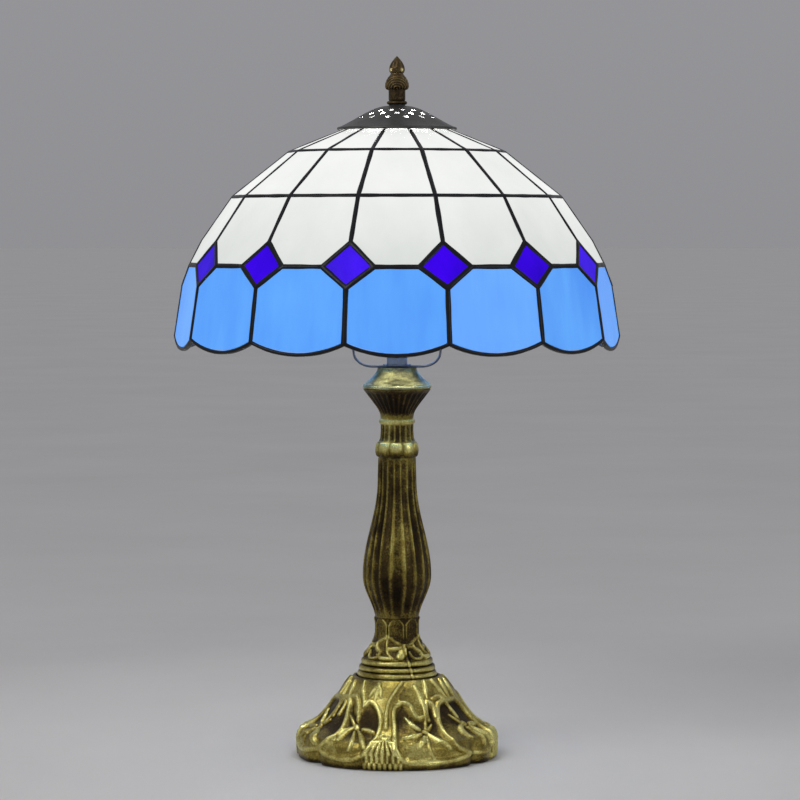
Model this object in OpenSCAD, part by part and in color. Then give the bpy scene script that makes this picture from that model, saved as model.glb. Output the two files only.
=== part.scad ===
// Table lamp: a faceted shade of leaded glass on a cast, fluted stand.
// Millimetres, Z up. The lamp stands on z = 0 and its axis is the Z axis; its front faces -Y.

/* [Shade] */
// Number of flat panels round the shade
panels = 14; // [10:2:14]
// Radius of the panels' top corners, hidden under the vase cap
crown_r = 33; // [31:0.5:35]
// Height of the panels' top corners
crown_z = 431.8; // [431:0.1:432.5]
// Radius of the first bend, where the shallow top row ends
bend_1_r = 73.9; // [70:0.1:78]
// Height of the first bend
bend_1_z = 415.3; // [413:0.1:417]
// Radius of the second bend
bend_2_r = 112.8; // [108:0.1:116]
// Height of the second bend
bend_2_z = 384.5; // [382:0.1:388]
// Radius of the third bend, at the middle of the diamonds
bend_3_r = 145; // [142:0.1:148]
// Height of the third bend
bend_3_z = 338.3; // [335:0.1:341]
// Radius of the rim's corners
rim_r = 152.7; // [151:0.1:156]
// Height of the rim's corners
rim_z = 289; // [286:0.5:292]
// How far each scallop hangs below the rim's corners
scallop_drop = 7.5; // [5:0.5:9]
// Half the width of a diamond, along the bend
diamond_w = 17.7; // [15:0.1:19]
// Length of a diamond's upper half, along the seam
diamond_rise = 19.1; // [17:0.1:21]
// Thickness of the glass
glass_t = 3; // [2.5:0.1:3.5]
// Width of the lead lines between the panes
came_w = 3; // [2:0.5:3.5]
// How far the lead stands proud of the glass on each side
came_proud = 0.4; // [0.2:0.1:0.6]

/* [Stand] */
// Largest radius of the foot
foot_r = 68.7; // [66:0.1:72]
// Height of the foot's upper lip
foot_h = 55.2; // [54.5:0.1:56]
// Depth of the four notches in the foot's outline
notch_depth = 4.8; // [3:0.1:5]
// Thickness of the felt under the foot
felt_t = 2; // [1.5:0.1:2.5]
// Angle of the cord's hole, from +X towards +Y
cord_angle = 82.2; // [80:0.1:100]
// Radius of the hole through the cord bushing
cord_hole_r = 3.2; // [2.5:0.1:3.4]
// Largest radius of the column's three foot rings
collar_r = 27.5; // [27:0.1:27.9]
// Largest radius of the column's belly
belly_r = 23.6; // [21:0.1:25]
// Radius of the lip of the fluted cup
cup_r = 23.6; // [22:0.1:25]
// Height of the joint between the cup and the smooth stem cap
cup_z = 252.8; // [251.5:0.1:253]
// Height of the stem cap's top, where the harp stands
stem_z = 267.5; // [267:0.1:268]
// Outer radius of the hollow threaded rod
rod_r = 4.9; // [4.7:0.05:5]

/* [Harp and lampholder] */
// Half the harp's outer width at its foot
harp_foot_w = 30.5; // [29:0.5:32]
// Half the harp's outer width beside the bulb
harp_w = 40; // [38:0.5:42]
// Height of the top of the harp
harp_top_z = 441; // [440.5:0.1:441.2]
// Depth of the harp's strap, front to back
strap_depth = 11; // [10:0.5:12]
// Thickness of the harp's strap
strap_t = 1.5; // [1.2:0.1:1.8]
// Radius of the harp's stud, which the finial screws on
stud_r = 3.1; // [2.8:0.05:3.15]
// Outer radius of the lampholder
holder_r = 19.5; // [19:0.1:21]

/* [Bulb] */
// Radius of the bulb's screw cap
screw_r = 13.1; // [12.8:0.05:13.2]
// Radius of the bulb's dome
dome_r = 30; // [28.5:0.5:30]
// Height of the centre of the bulb's dome
dome_z = 368; // [366:0.5:370]

/* [Hidden] */
function pane_name(kind, i) = str(kind, "_", i < 9 ? "0" : "", i + 1);
$fn = 96;
// Gap round a shaft or a stud that passes through a hole
shaft_gap = 0.1;
// Steps in a curved stretch of an outline
steps = 10;

// Colours
c_brass = [0.42, 0.37, 0.17];
c_steel = [0.45, 0.46, 0.48];
c_black = [0.08, 0.08, 0.08];
c_lead = [0.07, 0.07, 0.07];
c_white_glass = [0.93, 0.96, 0.92];
c_blue_glass = [0.35, 0.62, 1];
c_cobalt_glass = [0.12, 0, 0.8];

// Outlines of turned parts are lists of [radius, height].
// A point on a cubic curve with the four control points p
function bezier(p, t) =
    pow(1 - t, 3) * p[0] + 3 * t * pow(1 - t, 2) * p[1] + 3 * t * t * (1 - t) * p[2] + pow(t, 3) * p[3];
function curve(p, n = steps) = [for (i = [0:n]) bezier(p, i / n)];
// A smooth S from point a to point b, level with the axis at both ends
function swell(a, b, n = steps) =
    [for (i = [0:n]) [a.x + (b.x - a.x) * (1 - cos(180 * i / n)) / 2, a.y + (b.y - a.y) * i / n]];
// A flare from a to b that gets steeper with the power p
function flare(a, b, p, n = steps) =
    [for (i = [0:n]) [a.x + (b.x - a.x) * pow(i / n, p), a.y + (b.y - a.y) * i / n]];
// Part of an oval with half-axes s round c, from angle a to angle b
function oval(c, s, a, b, n = steps) =
    [for (i = [0:n]) let (t = a + (b - a) * i / n) [c.x + s.x * cos(t), c.y + s.y * sin(t)]];
function reversed(path) = [for (i = [len(path) - 1:-1:0]) path[i]];
function left_of(d) = [-d.y, d.x] / norm(d);
function side_at(path, i) = left_of(path[min(i + 1, len(path) - 1)] - path[max(i - 1, 0)]);
// An open path moved sideways by d, to its left
function shifted(path, d) = [for (i = [0:len(path) - 1]) path[i] + d * side_at(path, i)];

module turned(path) {
    rotate_extrude() polygon(path);
}

module ring(r_in, r_out, z, h) {
    translate([0, 0, z])
        difference() {
            cylinder(r = r_out, h = h);
            translate([0, 0, -1]) cylinder(r = r_in, h = h + 2);
        }
}

module hex_nut(across_flats, z, h) {
    translate([0, 0, z])
        difference() {
            cylinder(r = across_flats / 2 / cos(30), h = h, $fn = 6);
            translate([0, 0, -1]) cylinder(r = rod_r + shaft_gap / 2, h = h + 2);
        }
}

// ---- Stand ----
seat_z = 50.5;          // the face in the foot that the column stands on
foot_floor_z = 46.5;    // the underside of that seat
foot_wall_r = 58;       // inner radius of the foot's edge
foot_edge_z = 0.3;      // the edge ends this far above the table, so the felt bears
felt_r = 61;            // the felt lies in a recess in the edge
lip_r = collar_r + 0.8; // inner radius of the lip round the column
bore_r = rod_r + 0.4;   // hole for the rod through the castings
notch_r = 12;           // radius of the foot's notches
cord_z = 10;            // height of the cord's hole
// Directions of the notches, from the cord's hole towards +Y
notch_turns = [60, 131, 240, 311];
bushing_r = 4.9;
flange_r = 6.6;
flange_face = foot_r - notch_depth + 0.3;

foot_outline = concat(
    [[lip_r, foot_h]],
    curve([[30.2, foot_h + 0.2], [44, 44], [47, 24.5], [foot_r - 2.2, 18.6]], 14),
    oval([foot_r - 4, 12], [4, 6.2], 60, 0, 6),
    [[foot_r, 3], [foot_r - 0.8, foot_edge_z], [felt_r + 0.6, foot_edge_z], [felt_r + 0.6, felt_t]],
    [[foot_wall_r, felt_t], [foot_wall_r, 12]],
    curve([[57, 15.5], [44, 19.5], [40, 38], [27, foot_floor_z]], 10),
    [[bore_r, foot_floor_z], [bore_r, seat_z], [lip_r, seat_z]]
);

module felt_pad() {
    color([0.12, 0.2, 0.12]) cylinder(r = felt_r, h = felt_t);
}

module foot() {
    color(c_brass)
        difference() {
            turned(foot_outline);
            for (a = notch_turns)
                rotate([0, 0, cord_angle + a])
                    translate([foot_r - notch_depth + notch_r, 0, -1])
                        cylinder(r = notch_r, h = foot_h / 2);
            rotate([0, 0, cord_angle])
                translate([foot_wall_r - 8, 0, cord_z])
                    rotate([0, 90, 0]) cylinder(r = bushing_r + shaft_gap, h = 25);
            rotate([0, 0, cord_angle])
                translate([flange_face, 0, cord_z])
                    rotate([0, 90, 0]) cylinder(r = flange_r + 0.3, h = 15);
        }
}

module cord_bushing() {
    inner_end = foot_wall_r - 1;
    color(c_black)
        rotate([0, 0, cord_angle])
            translate([inner_end, 0, cord_z])
                rotate([0, 90, 0])
                    difference() {
                        union() {
                            cylinder(r = bushing_r, h = flange_face - inner_end);
                            translate([0, 0, flange_face - inner_end]) cylinder(r = flange_r, h = 1.8);
                        }
                        translate([0, 0, -1]) cylinder(r = cord_hole_r, h = 20);
                    }
}

// The column, from the foot rings up to the lip of the cup
column_outline = concat(
    [[collar_r - 1, seat_z], [collar_r - 1.6, 54.2]],
    oval([collar_r - 1.8, 56.8], [1.8, 2.4], -90, 90, 8),
    oval([collar_r - 2.7, 61.1], [1.7, 1.9], -90, 90, 8),
    oval([collar_r - 4.9, 65.4], [2.1, 2.4], -90, 90, 8),
    reversed(flare([14.7, 84], [collar_r - 4.7, 68], 1.5)),
    swell([14.7, 92], [belly_r, 124.3]),
    swell([belly_r, 124.8], [13.4, 190], 14),
    [[13, 205.3]],
    oval([12.6, 211.4], [1.9, 5.4], -90, 90, 8),
    [[11.6, 219.2], [11.2, 224.5], [11.3, 228.6]],
    oval([11.2, 230.6], [1.2, 1.7], -90, 90, 6),
    curve([[11.5, 234.5], [11.5, 238.5], [17.5, 244.5], [cup_r - 0.3, cup_z]]),
    [[bore_r, cup_z], [bore_r, cup_z - 8], [bore_r + 2, cup_z - 10]],
    [[bore_r + 2, seat_z + 10], [bore_r, seat_z + 8], [bore_r, seat_z]]
);

module column() {
    color(c_brass) turned(column_outline);
}

stem_outline = concat(
    [[bore_r, stem_z], [13.4, stem_z]],
    flare([13.4, stem_z], [cup_r - 0.4, cup_z + 3.3], 1.7),
    oval([cup_r - 1.6, cup_z + 1.6], [1.6, 1.6], 60, -90, 8),
    [[cup_r - 4, cup_z]],
    reversed(flare([11, stem_z - 3], [cup_r - 4, cup_z + 2], 1.7)),
    [[bore_r, stem_z - 3]]
);

module stem_cap() {
    color(c_brass) turned(stem_outline);
}

rod_bottom_z = 34;
rod_top_z = 283;
nut_af = 14;
base_washer_t = 2;
base_nut_h = 7.5;

module threaded_rod() {
    color(c_steel) ring(rod_r - 1.6, rod_r, rod_bottom_z, rod_top_z - rod_bottom_z);
}

module base_washer() {
    color(c_steel) ring(rod_r + 0.4, 14, foot_floor_z - base_washer_t, base_washer_t);
}

module base_nut() {
    color(c_steel) hex_nut(nut_af, foot_floor_z - base_washer_t - base_nut_h, base_nut_h);
}

// ---- Harp ----
harp_half_t = strap_t / 2;
corner_w = 13;
corner_h = 9.5;
corner_x = harp_foot_w - harp_half_t - corner_w;
harp_foot_z = stem_z + harp_half_t;
harp_side_x = harp_w - harp_half_t;
shoulder_z = 385;
harp_crown_x = 10;
harp_line_top = harp_top_z - harp_half_t;
// Middle line of the right half of the strap, from the foot up to the top
harp_line = concat(
    [[0, harp_foot_z]],
    oval([corner_x, harp_foot_z + corner_h], [corner_w, corner_h], -90, 0, 10),
    [[harp_side_x - 1, 336], [harp_side_x, 346]],
    oval([harp_crown_x, shoulder_z], [harp_side_x - harp_crown_x, harp_line_top - shoulder_z], 0, 90, 16),
    [[0, harp_line_top]]
);

// A closed outline from its right half, whose ends lie on the axis
function closed(right) = concat(right, [for (i = [len(right) - 2:-1:1]) [-right[i].x, right[i].y]]);

module harp() {
    color(c_steel)
        difference() {
            rotate([90, 0, 0])
                translate([0, 0, -strap_depth / 2])
                    linear_extrude(strap_depth)
                        difference() {
                            polygon(closed(shifted(harp_line, -harp_half_t)));
                            polygon(closed(shifted(harp_line, harp_half_t)));
                        }
            translate([0, 0, stem_z - 1]) cylinder(r = rod_r + shaft_gap, h = 4);
            translate([0, 0, harp_top_z - 3]) cylinder(r = stud_r + 0.05, h = 5);
        }
}

module harp_stud() {
    color(c_steel) {
        translate([0, 0, harp_top_z - strap_t - 1.8]) cylinder(r = 6, h = 1.8);
        translate([0, 0, harp_top_z - strap_t]) cylinder(r = stud_r, h = 18.5);
    }
}

// ---- Lampholder ----
washer_z = stem_z + strap_t;
washer_t = 0.8;
neck_nut_z = washer_z + washer_t;
neck_nut_h = 5;
holder_z = neck_nut_z + neck_nut_h;
holder_joint_z = 291;
holder_top_z = 317;
insert_z = 287;
insert_top_z = 295;
shell_r = screw_r + 0.4;
terminal_x = 9.5;

module toothed_washer() {
    teeth = 14;
    color(c_steel) {
        ring(rod_r + 0.3, 8.4, washer_z, washer_t);
        for (i = [0:teeth - 1])
            rotate([0, 0, i * 360 / teeth])
                translate([8.2, -0.8, washer_z])
                    cube([1.5, 1.6, washer_t]);
    }
}

module neck_nut() {
    color(c_steel) hex_nut(nut_af, neck_nut_z, neck_nut_h);
}

module holder_cap() {
    wall = 1.7;
    outline = concat(
        [[rod_r + shaft_gap, holder_z], [9.8, holder_z]],
        curve([[9.8, holder_z + 1.6], [14, holder_z + 2.6], [holder_r, 281], [holder_r, 287]], 8),
        [[holder_r, holder_joint_z], [holder_r - wall, holder_joint_z]],
        reversed(curve([[9, 279], [13, 279.5], [holder_r - wall, 283], [holder_r - wall, 287]], 8)),
        [[rod_r + shaft_gap, 279]]
    );
    color(c_black) turned(outline);
}

module holder_body() {
    wall = 1.9;
    color(c_black)
        turned([
            [holder_r - wall, holder_joint_z],
            [holder_r, holder_joint_z],
            [holder_r, holder_top_z - 1],
            [holder_r - 1, holder_top_z],
            [shell_r + 0.8, holder_top_z],
            [shell_r + 0.8, holder_top_z - 1.4],
            [holder_r - wall, holder_top_z - 1.4]
        ]);
}

module holder_insert() {
    color([0.9, 0.88, 0.82])
        difference() {
            translate([0, 0, insert_z]) cylinder(r = holder_r - 2.2, h = insert_top_z - insert_z);
            for (x = [-terminal_x, terminal_x])
                translate([x, 0, insert_z - 1]) cylinder(r = 1.5, h = 6);
        }
}

module terminal_screws() {
    color(c_steel)
        for (x = [-terminal_x, terminal_x])
            translate([x, 0, insert_z]) {
                translate([0, 0, -2]) cylinder(r = 2.6, h = 2);
                cylinder(r = 1.45, h = 4.8);
            }
}

module screw_shell() {
    color([0.8, 0.65, 0.3]) {
        ring(shell_r, shell_r + 2, insert_top_z, 0.8);
        ring(shell_r, shell_r + 0.6, insert_top_z, 20);
    }
}

module centre_contact() {
    color([0.8, 0.65, 0.3]) translate([0, 0, insert_top_z]) cylinder(r = 4, h = 0.9);
}

// ---- Bulb ----
tip_z = insert_top_z + 1.1;
insulator_z = tip_z + 2;
screw_z = insulator_z + 4.4;
screw_top_z = 321.5;
board_z = 354;
dome_base_z = 358;

module bulb_contact() {
    color(c_steel)
        turned([[0, tip_z], [3, tip_z], [4.6, tip_z + 1], [4.6, insulator_z], [0, insulator_z]]);
}

module bulb_insulator() {
    color(c_black) turned([[0, insulator_z], [5, insulator_z], [screw_r - 1.6, screw_z], [0, screw_z]]);
}

module bulb_screw_cap() {
    wall = 0.5;
    color([0.75, 0.75, 0.76])
        turned([
            [0, screw_z],
            [screw_r - 1.6, screw_z],
            [screw_r, screw_z + 2],
            [screw_r, screw_top_z],
            [screw_r - wall, screw_top_z],
            [screw_r - wall, screw_z + 2.4],
            [screw_r - 2, screw_z + wall],
            [0, screw_z + wall]
        ]);
}

module bulb_housing() {
    neck_r = screw_r - 0.6;
    wall = 1.8;
    rim = sqrt(dome_r * dome_r - pow(dome_z - dome_base_z, 2)) + 0.1;
    outline = concat(
        [[neck_r, 308], [neck_r, screw_top_z], [screw_r + 0.7, screw_top_z]],
        curve([[screw_r + 0.8, 323], [17, 328], [25, 342], [rim, 355]], 8),
        [[rim, dome_base_z], [rim - wall, dome_base_z], [rim - wall, board_z]],
        [[rim - wall - 4, board_z], [rim - wall - 4, board_z - 2]],
        reversed(curve([[neck_r - wall, 325], [15, 329], [20, 340], [rim - wall - 4, board_z - 4]], 6)),
        [[neck_r - wall, 308]]
    );
    color([0.92, 0.92, 0.92]) turned(outline);
}

module led_board() {
    leds = 8;
    color([0.95, 0.95, 0.9]) {
        translate([0, 0, board_z]) cylinder(r = dome_r - 4.2, h = 1.6);
        for (i = [0:leds - 1])
            rotate([0, 0, i * 360 / leds])
                translate([15.6, -1.4, board_z + 1.5])
                    cube([2.8, 2.8, 0.8]);
    }
}

module bulb_dome() {
    inner = dome_r - 1.4;
    low = dome_base_z - dome_z;
    color([0.97, 0.96, 0.92])
        turned(concat(
            oval([0, dome_z], [dome_r, dome_r], asin(low / dome_r), 90, 16),
            reversed(oval([0, dome_z], [inner, inner], asin(low / inner), 90, 16))
        ));
}

// ---- Cap and finial ----
hub_z = 446.3;
cap_wall = 1.1;
stud_hole_r = stud_r + 0.2;
finial_z = hub_z + 0.9;

module seat_washer() {
    color(c_steel) ring(stud_hole_r, 7.6, harp_top_z, hub_z - cap_wall - harp_top_z);
}

// Middle radius and hole radius of each row of vents, in the vase cap
vent_rows = [[18.2, 1.5], [22.4, 1.6], [26.6, 1.7]];
vents = 14;

module vase_cap() {
    dome = curve([[8, hub_z], [17, hub_z - 1.7], [35, hub_z - 10.7], [41, 430.4]], 14);
    color([0.18, 0.18, 0.18])
        difference() {
            turned(concat(
                [[stud_hole_r, hub_z]],
                dome,
                reversed(shifted(dome, -cap_wall)),
                [[stud_hole_r, hub_z - cap_wall]]
            ));
            for (row = [0:len(vent_rows) - 1], i = [0:vents - 1])
                rotate([0, 0, (i + row / 2) * 360 / vents])
                    translate([vent_rows[row].x, 0, 430])
                        cylinder(r = vent_rows[row].y, h = 20);
        }
}

module finial_washer() {
    color(c_black) ring(stud_hole_r, 5.6, hub_z, finial_z - hub_z);
}

module finial() {
    outline = concat(
        [[0, 461], [stud_r + 0.1, 460], [stud_r + 0.1, finial_z]],
        oval([5.4, finial_z + 1.3], [1.7, 1.3], -90, 90, 6),
        [[5.7, 451.1], [5.7, 455.9]],
        oval([5.6, 460.6], [2.5, 4], -90, 90, 8),
        [[4.5, 468.1]],
        curve([[4.5, 468.6], [7, 472], [4, 476], [0, 480.4]], 8)
    );
    color([0.25, 0.2, 0.1]) turned(outline);
}

// ---- Leaded glass ----
// Every row of panes is flat, and meets the next row at a bend and the next panel at a seam.
turn = 360 / panels;
half = turn / 2;
seam = [
    [crown_r, crown_z],
    [bend_1_r, bend_1_z],
    [bend_2_r, bend_2_z],
    [bend_3_r, bend_3_z],
    [rim_r, rim_z]
];
// The same rings in the middle of a panel
middle = [for (p = seam) [p.x * cos(half), p.y]];
rows = len(seam) - 1;

function along(a, b) = (b - a) / norm(b - a);
// Where the line through p along d meets the line through q along e
function meet(p, d, q, e) = p + d * (((q - p).x * e.y - (q - p).y * e.x) / (d.x * e.y - d.y * e.x));
row_way = [for (k = [0:rows - 1]) along(middle[k], middle[k + 1])];
row_out = [for (d = row_way) left_of(d)];
// The panels' profile, moved inwards by t
function middle_at(t) = [
    middle[0] - t * row_out[0],
    for (k = [1:rows - 1])
        meet(middle[k] - t * row_out[k - 1], row_way[k - 1], middle[k] - t * row_out[k], row_way[k]),
    middle[rows] - t * row_out[rows - 1]
];
function seam_at(t) = [for (p = middle_at(t)) [p.x / cos(half), p.y]];

// Each diamond is a flat kite that cuts off the corner where a seam crosses the third bend.
kite_top = seam[3] + diamond_rise * along(seam[3], seam[2]);
kite_mid = [bend_3_r - diamond_w * sin(half), bend_3_z];
kite_way = along(kite_top, kite_mid);
kite_out = left_of(kite_way);
kite_foot = meet(seam[3], along(seam[3], seam[4]), kite_top, kite_way);
function kite_end_at(t, s, k) = meet(s[3], along(s[3], s[k]), kite_top - t * kite_out, kite_way);
// Where the kite's plane crosses the third bend, measured from the middle of a panel
function kite_side_at(t, m) =
    ((kite_out * kite_top - t - kite_out.y * m[3].y) / kite_out.x - m[3].x * cos(half)) / sin(half);

scallop_half = middle[4].x * tan(half);
scallop_r = (pow(scallop_half, 2) + pow(scallop_drop, 2)) / (2 * scallop_drop);
scallop_steps = 10;
scallop_angle = asin(scallop_half / scallop_r);
// The scallop's edge from left to right, measured from the middle of the rim's chord
scallop = [
    for (i = [0:scallop_steps])
        let (a = scallop_angle * (2 * i / scallop_steps - 1))
            [scallop_r * sin(a), scallop_r * (cos(scallop_angle) - cos(a))]
];

function row_length(k) = norm(middle[k + 1] - middle[k]);
function chord(k) = middle[k].x * tan(half);
function lower_corner(k) = [chord(k + 1), 0];
function upper_corner(k) = [chord(k), row_length(k)];
function mirrored(path) = [for (p = reversed(path)) [-p.x, p.y]];
bend_half = chord(3) - diamond_w;
notch_top = lower_corner(2) + diamond_rise * along(lower_corner(2), upper_corner(2));
notch_foot = upper_corner(3) + norm(kite_foot - seam[3]) * along(upper_corner(3), lower_corner(3));

// Edges of the panes in their own plane, on the lead's middle lines, anticlockwise from the lower left
function plain_right(k) = [lower_corner(k), upper_corner(k)];
third_right = [[bend_half, 0], notch_top, upper_corner(2)];
skirt_right = [notch_foot, [bend_half, row_length(3)]];
kite_half_w = diamond_w * cos(half);
kite_edge = [
    [0, -norm(kite_foot - kite_mid)],
    [kite_half_w, 0],
    [0, norm(kite_top - kite_mid)],
    [-kite_half_w, 0]
];
function both_sides(right) = concat(right, mirrored(right));
function edge(k) =
    k < 2 ? both_sides(plain_right(k))
    : k == 2 ? both_sides(third_right)
    : concat(scallop, skirt_right, mirrored(skirt_right));

// A convex outline with every side moved inwards by w
function inset(p, w) = [
    for (i = [0:len(p) - 1])
        let (
            a = p[(i + len(p) - 1) % len(p)],
            b = p[i],
            c = p[(i + 1) % len(p)]
        )
            meet(b + w * left_of(b - a), b - a, b + w * left_of(c - b), c - b)
];

module on_panel(i, k) {
    lean = atan2(middle[k].y - middle[k + 1].y, middle[k + 1].x - middle[k].x);
    rotate([0, 0, i * turn])
        translate([0, -middle[k + 1].x, middle[k + 1].y])
            rotate([lean, 0, 0])
                children();
}

module on_seam(i) {
    lean = atan2(kite_top.y - kite_mid.y, kite_mid.x - kite_top.x);
    rotate([0, 0, i * turn + half])
        translate([0, -kite_mid.x, kite_mid.y])
            rotate([lean, 0, 0])
                children();
}

// A pane, or with some extra thickness the cut for it
module pane(outline, extra = 0) {
    translate([0, 0, -glass_t - extra])
        linear_extrude(glass_t + 2 * extra)
            polygon(inset(outline, came_w / 2));
}

module glass_row(k) {
    color(c_white_glass)
        for (i = [0:panels - 1])
            on_panel(i, k) pane(edge(k));
}

module skirt_panel(i) {
    color(c_blue_glass) on_panel(i, 3) pane(edge(3));
}

module diamond(i) {
    color(c_cobalt_glass) on_seam(i) pane(kite_edge);
}

// The lead is a thin faceted shell with every pane cut out of it.
function on_seam_line(i, p) =
    let (a = i * turn + half - 90) [p.x * cos(a), p.x * sin(a), p.y];
function on_panel_face(i, s, p) =
    let (a = i * turn - 90) [p.x * cos(a) - s * sin(a), p.x * sin(a) + s * cos(a), p.y];
function layer_of_panel(i, t) =
    let (
        m = middle_at(t),
        s = seam_at(t),
        side = kite_side_at(t, m),
        rim = [for (j = [1:scallop_steps - 1]) scallop[j]]
    )
        concat(
            [for (k = [0:2]) on_seam_line(i, s[k])],
            [on_seam_line(i, kite_end_at(t, s, 2)), on_seam_line(i, kite_end_at(t, s, 4))],
            [on_seam_line(i, s[4])],
            [on_panel_face(i, -side, m[3]), on_panel_face(i, side, m[3])],
            [for (p = rim) on_panel_face(i, p.x * m[4].x / middle[4].x, m[4] - p.y * row_way[3])]
        );
// Places of the points in one panel's list
P_TOP = 3;
P_FOOT = 4;
P_RIM = 5;
P_LEFT = 6;
P_RIGHT = 7;
P_SCALLOP = 8;
panel_points = P_SCALLOP + scallop_steps - 1;
function id(i, k) = ((i + panels) % panels) * panel_points + k;
function rim_chain(i) = concat(
    [id(i, P_RIM)],
    [for (j = [scallop_steps - 2:-1:0]) id(i, P_SCALLOP + j)],
    [id(i - 1, P_RIM)]
);
function panel_faces(i) = [
    [id(i - 1, 0), id(i, 0), id(i, 1), id(i - 1, 1)],
    [id(i - 1, 1), id(i, 1), id(i, 2), id(i - 1, 2)],
    [id(i - 1, 2), id(i, 2), id(i, P_TOP), id(i, P_RIGHT), id(i, P_LEFT), id(i - 1, P_TOP)],
    concat([id(i, P_LEFT), id(i, P_RIGHT), id(i, P_FOOT)], rim_chain(i), [id(i - 1, P_FOOT)]),
    [id(i, P_TOP), id(i + 1, P_LEFT), id(i, P_FOOT), id(i, P_RIGHT)]
];
inner_start = panels * panel_points;
function band(chain) = [
    for (j = [0:len(chain) - 2])
        [chain[j + 1], chain[j], chain[j] + inner_start, chain[j + 1] + inner_start]
];

module lead_shell() {
    outer = [for (i = [0:panels - 1]) each layer_of_panel(i, -came_proud)];
    inner = [for (i = [0:panels - 1]) each layer_of_panel(i, glass_t + came_proud)];
    skin = [for (i = [0:panels - 1]) each panel_faces(i)];
    lining = [for (f = skin) [for (v = reversed(f)) v + inner_start]];
    edges = [for (i = [0:panels - 1]) each concat(band([id(i - 1, 0), id(i, 0)]), band(rim_chain(i)))];
    polyhedron(points = concat(outer, inner), faces = concat(skin, lining, edges));
}

module came() {
    clear = came_proud + 1;
    color(c_lead)
        difference() {
            lead_shell();
            for (i = [0:panels - 1], k = [0:rows - 1])
                on_panel(i, k) pane(edge(k), clear);
            for (i = [0:panels - 1])
                on_seam(i) pane(kite_edge, clear);
        }
}

felt_pad();
foot();
column();
stem_cap();
threaded_rod();
base_nut();
base_washer();
cord_bushing();
harp();
toothed_washer();
neck_nut();
holder_cap();
holder_body();
holder_insert();
screw_shell();
centre_contact();
terminal_screws();
harp_stud();
bulb_contact();
bulb_insulator();
bulb_screw_cap();
bulb_housing();
led_board();
bulb_dome();
seat_washer();
vase_cap();
finial_washer();
finial();
glass_row(0);  // top_row
glass_row(1);  // second_row
glass_row(2);  // third_row
came();
for (i = [0:panels - 1]) {
    diamond(i);
    skirt_panel(i);
}
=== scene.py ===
"""Looks of a leaded-glass table lamp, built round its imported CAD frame.

Shapes are worked out in millimetres and turned into metres when a mesh is made.
"""

import math

import bmesh
import bpy
import numpy as np
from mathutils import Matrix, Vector


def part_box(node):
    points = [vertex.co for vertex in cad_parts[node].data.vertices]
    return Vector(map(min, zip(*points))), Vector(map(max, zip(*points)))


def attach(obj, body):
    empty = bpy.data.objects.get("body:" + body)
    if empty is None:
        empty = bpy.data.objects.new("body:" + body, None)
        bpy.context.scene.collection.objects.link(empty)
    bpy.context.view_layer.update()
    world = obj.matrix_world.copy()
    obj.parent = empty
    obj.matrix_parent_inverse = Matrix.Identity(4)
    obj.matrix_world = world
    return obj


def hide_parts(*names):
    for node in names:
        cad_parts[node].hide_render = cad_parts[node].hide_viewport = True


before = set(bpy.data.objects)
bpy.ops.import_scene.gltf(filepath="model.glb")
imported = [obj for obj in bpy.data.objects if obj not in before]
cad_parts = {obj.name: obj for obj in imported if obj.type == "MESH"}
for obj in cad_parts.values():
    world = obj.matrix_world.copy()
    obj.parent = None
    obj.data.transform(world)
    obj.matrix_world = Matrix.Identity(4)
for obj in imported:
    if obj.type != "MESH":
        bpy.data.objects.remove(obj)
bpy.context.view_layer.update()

MM = 0.001
RNG = np.random.default_rng(14)


# ---- Places from the frame, in millimetres ----


def bottom(node):
    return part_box(node)[0].z / MM


def top(node):
    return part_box(node)[1].z / MM


def reach(node):
    """Largest distance of a turned node from the lamp's axis."""
    low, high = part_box(node)
    return max(-low.x, high.x) / MM


def add_object(name, data):
    made = bpy.data.objects.new(name, data)
    bpy.context.scene.collection.objects.link(made)
    return made


# ---- Camera ----


CAMERA_PLACE = (0.00206, -2.164, 0.362)
CAMERA_DIP = 3.09
CAMERA_LENS = 142.02


def add_camera():
    data = bpy.data.cameras.new("camera")
    data.lens = CAMERA_LENS
    data.sensor_width = 36.0
    camera = add_object("camera", data)
    camera.location = CAMERA_PLACE
    camera.rotation_euler = (math.radians(90 - CAMERA_DIP), 0, 0)
    bpy.context.scene.camera = camera


add_camera()


# ---- Curves: every path is an array of points ----


def path(*stretches):
    return np.concatenate([np.asarray(s, float).reshape(-1, len(np.atleast_2d(s)[0])) for s in stretches])


def bezier(points, steps=24):
    t = np.linspace(0, 1, steps + 1)[:, None]
    a, b, c, d = np.asarray(points, float)
    return (1 - t) ** 3 * a + 3 * t * (1 - t) ** 2 * b + 3 * t * t * (1 - t) * c + t**3 * d


def swell(a, b, steps=30):
    """A smooth S from a to b, level with the axis at both ends."""
    t = np.linspace(0, 1, steps + 1)
    return np.stack([a[0] + (b[0] - a[0]) * (1 - np.cos(np.pi * t)) / 2, a[1] + (b[1] - a[1]) * t], 1)


def flare(a, b, power, steps=24):
    t = np.linspace(0, 1, steps + 1)
    return np.stack([a[0] + (b[0] - a[0]) * t**power, a[1] + (b[1] - a[1]) * t], 1)


def oval(centre, size, start, end, steps=16):
    t = np.radians(np.linspace(start, end, steps + 1))
    return np.stack([centre[0] + size[0] * np.cos(t), centre[1] + size[1] * np.sin(t)], 1)


def lengths(points):
    """Distance along a path, at each of its points."""
    return np.r_[0, np.cumsum(np.linalg.norm(np.diff(points, axis=0), axis=1))]


def split_long(points, step):
    """The same path with its long spans cut into shorter ones; its corners stay."""
    out = [points[:1]]
    for a, b in zip(points[:-1], points[1:]):
        n = max(1, int(np.ceil(np.linalg.norm(b - a) / step)))
        out.append(a + (b - a) * np.linspace(0, 1, n + 1)[1:, None])
    return np.concatenate(out)


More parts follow.
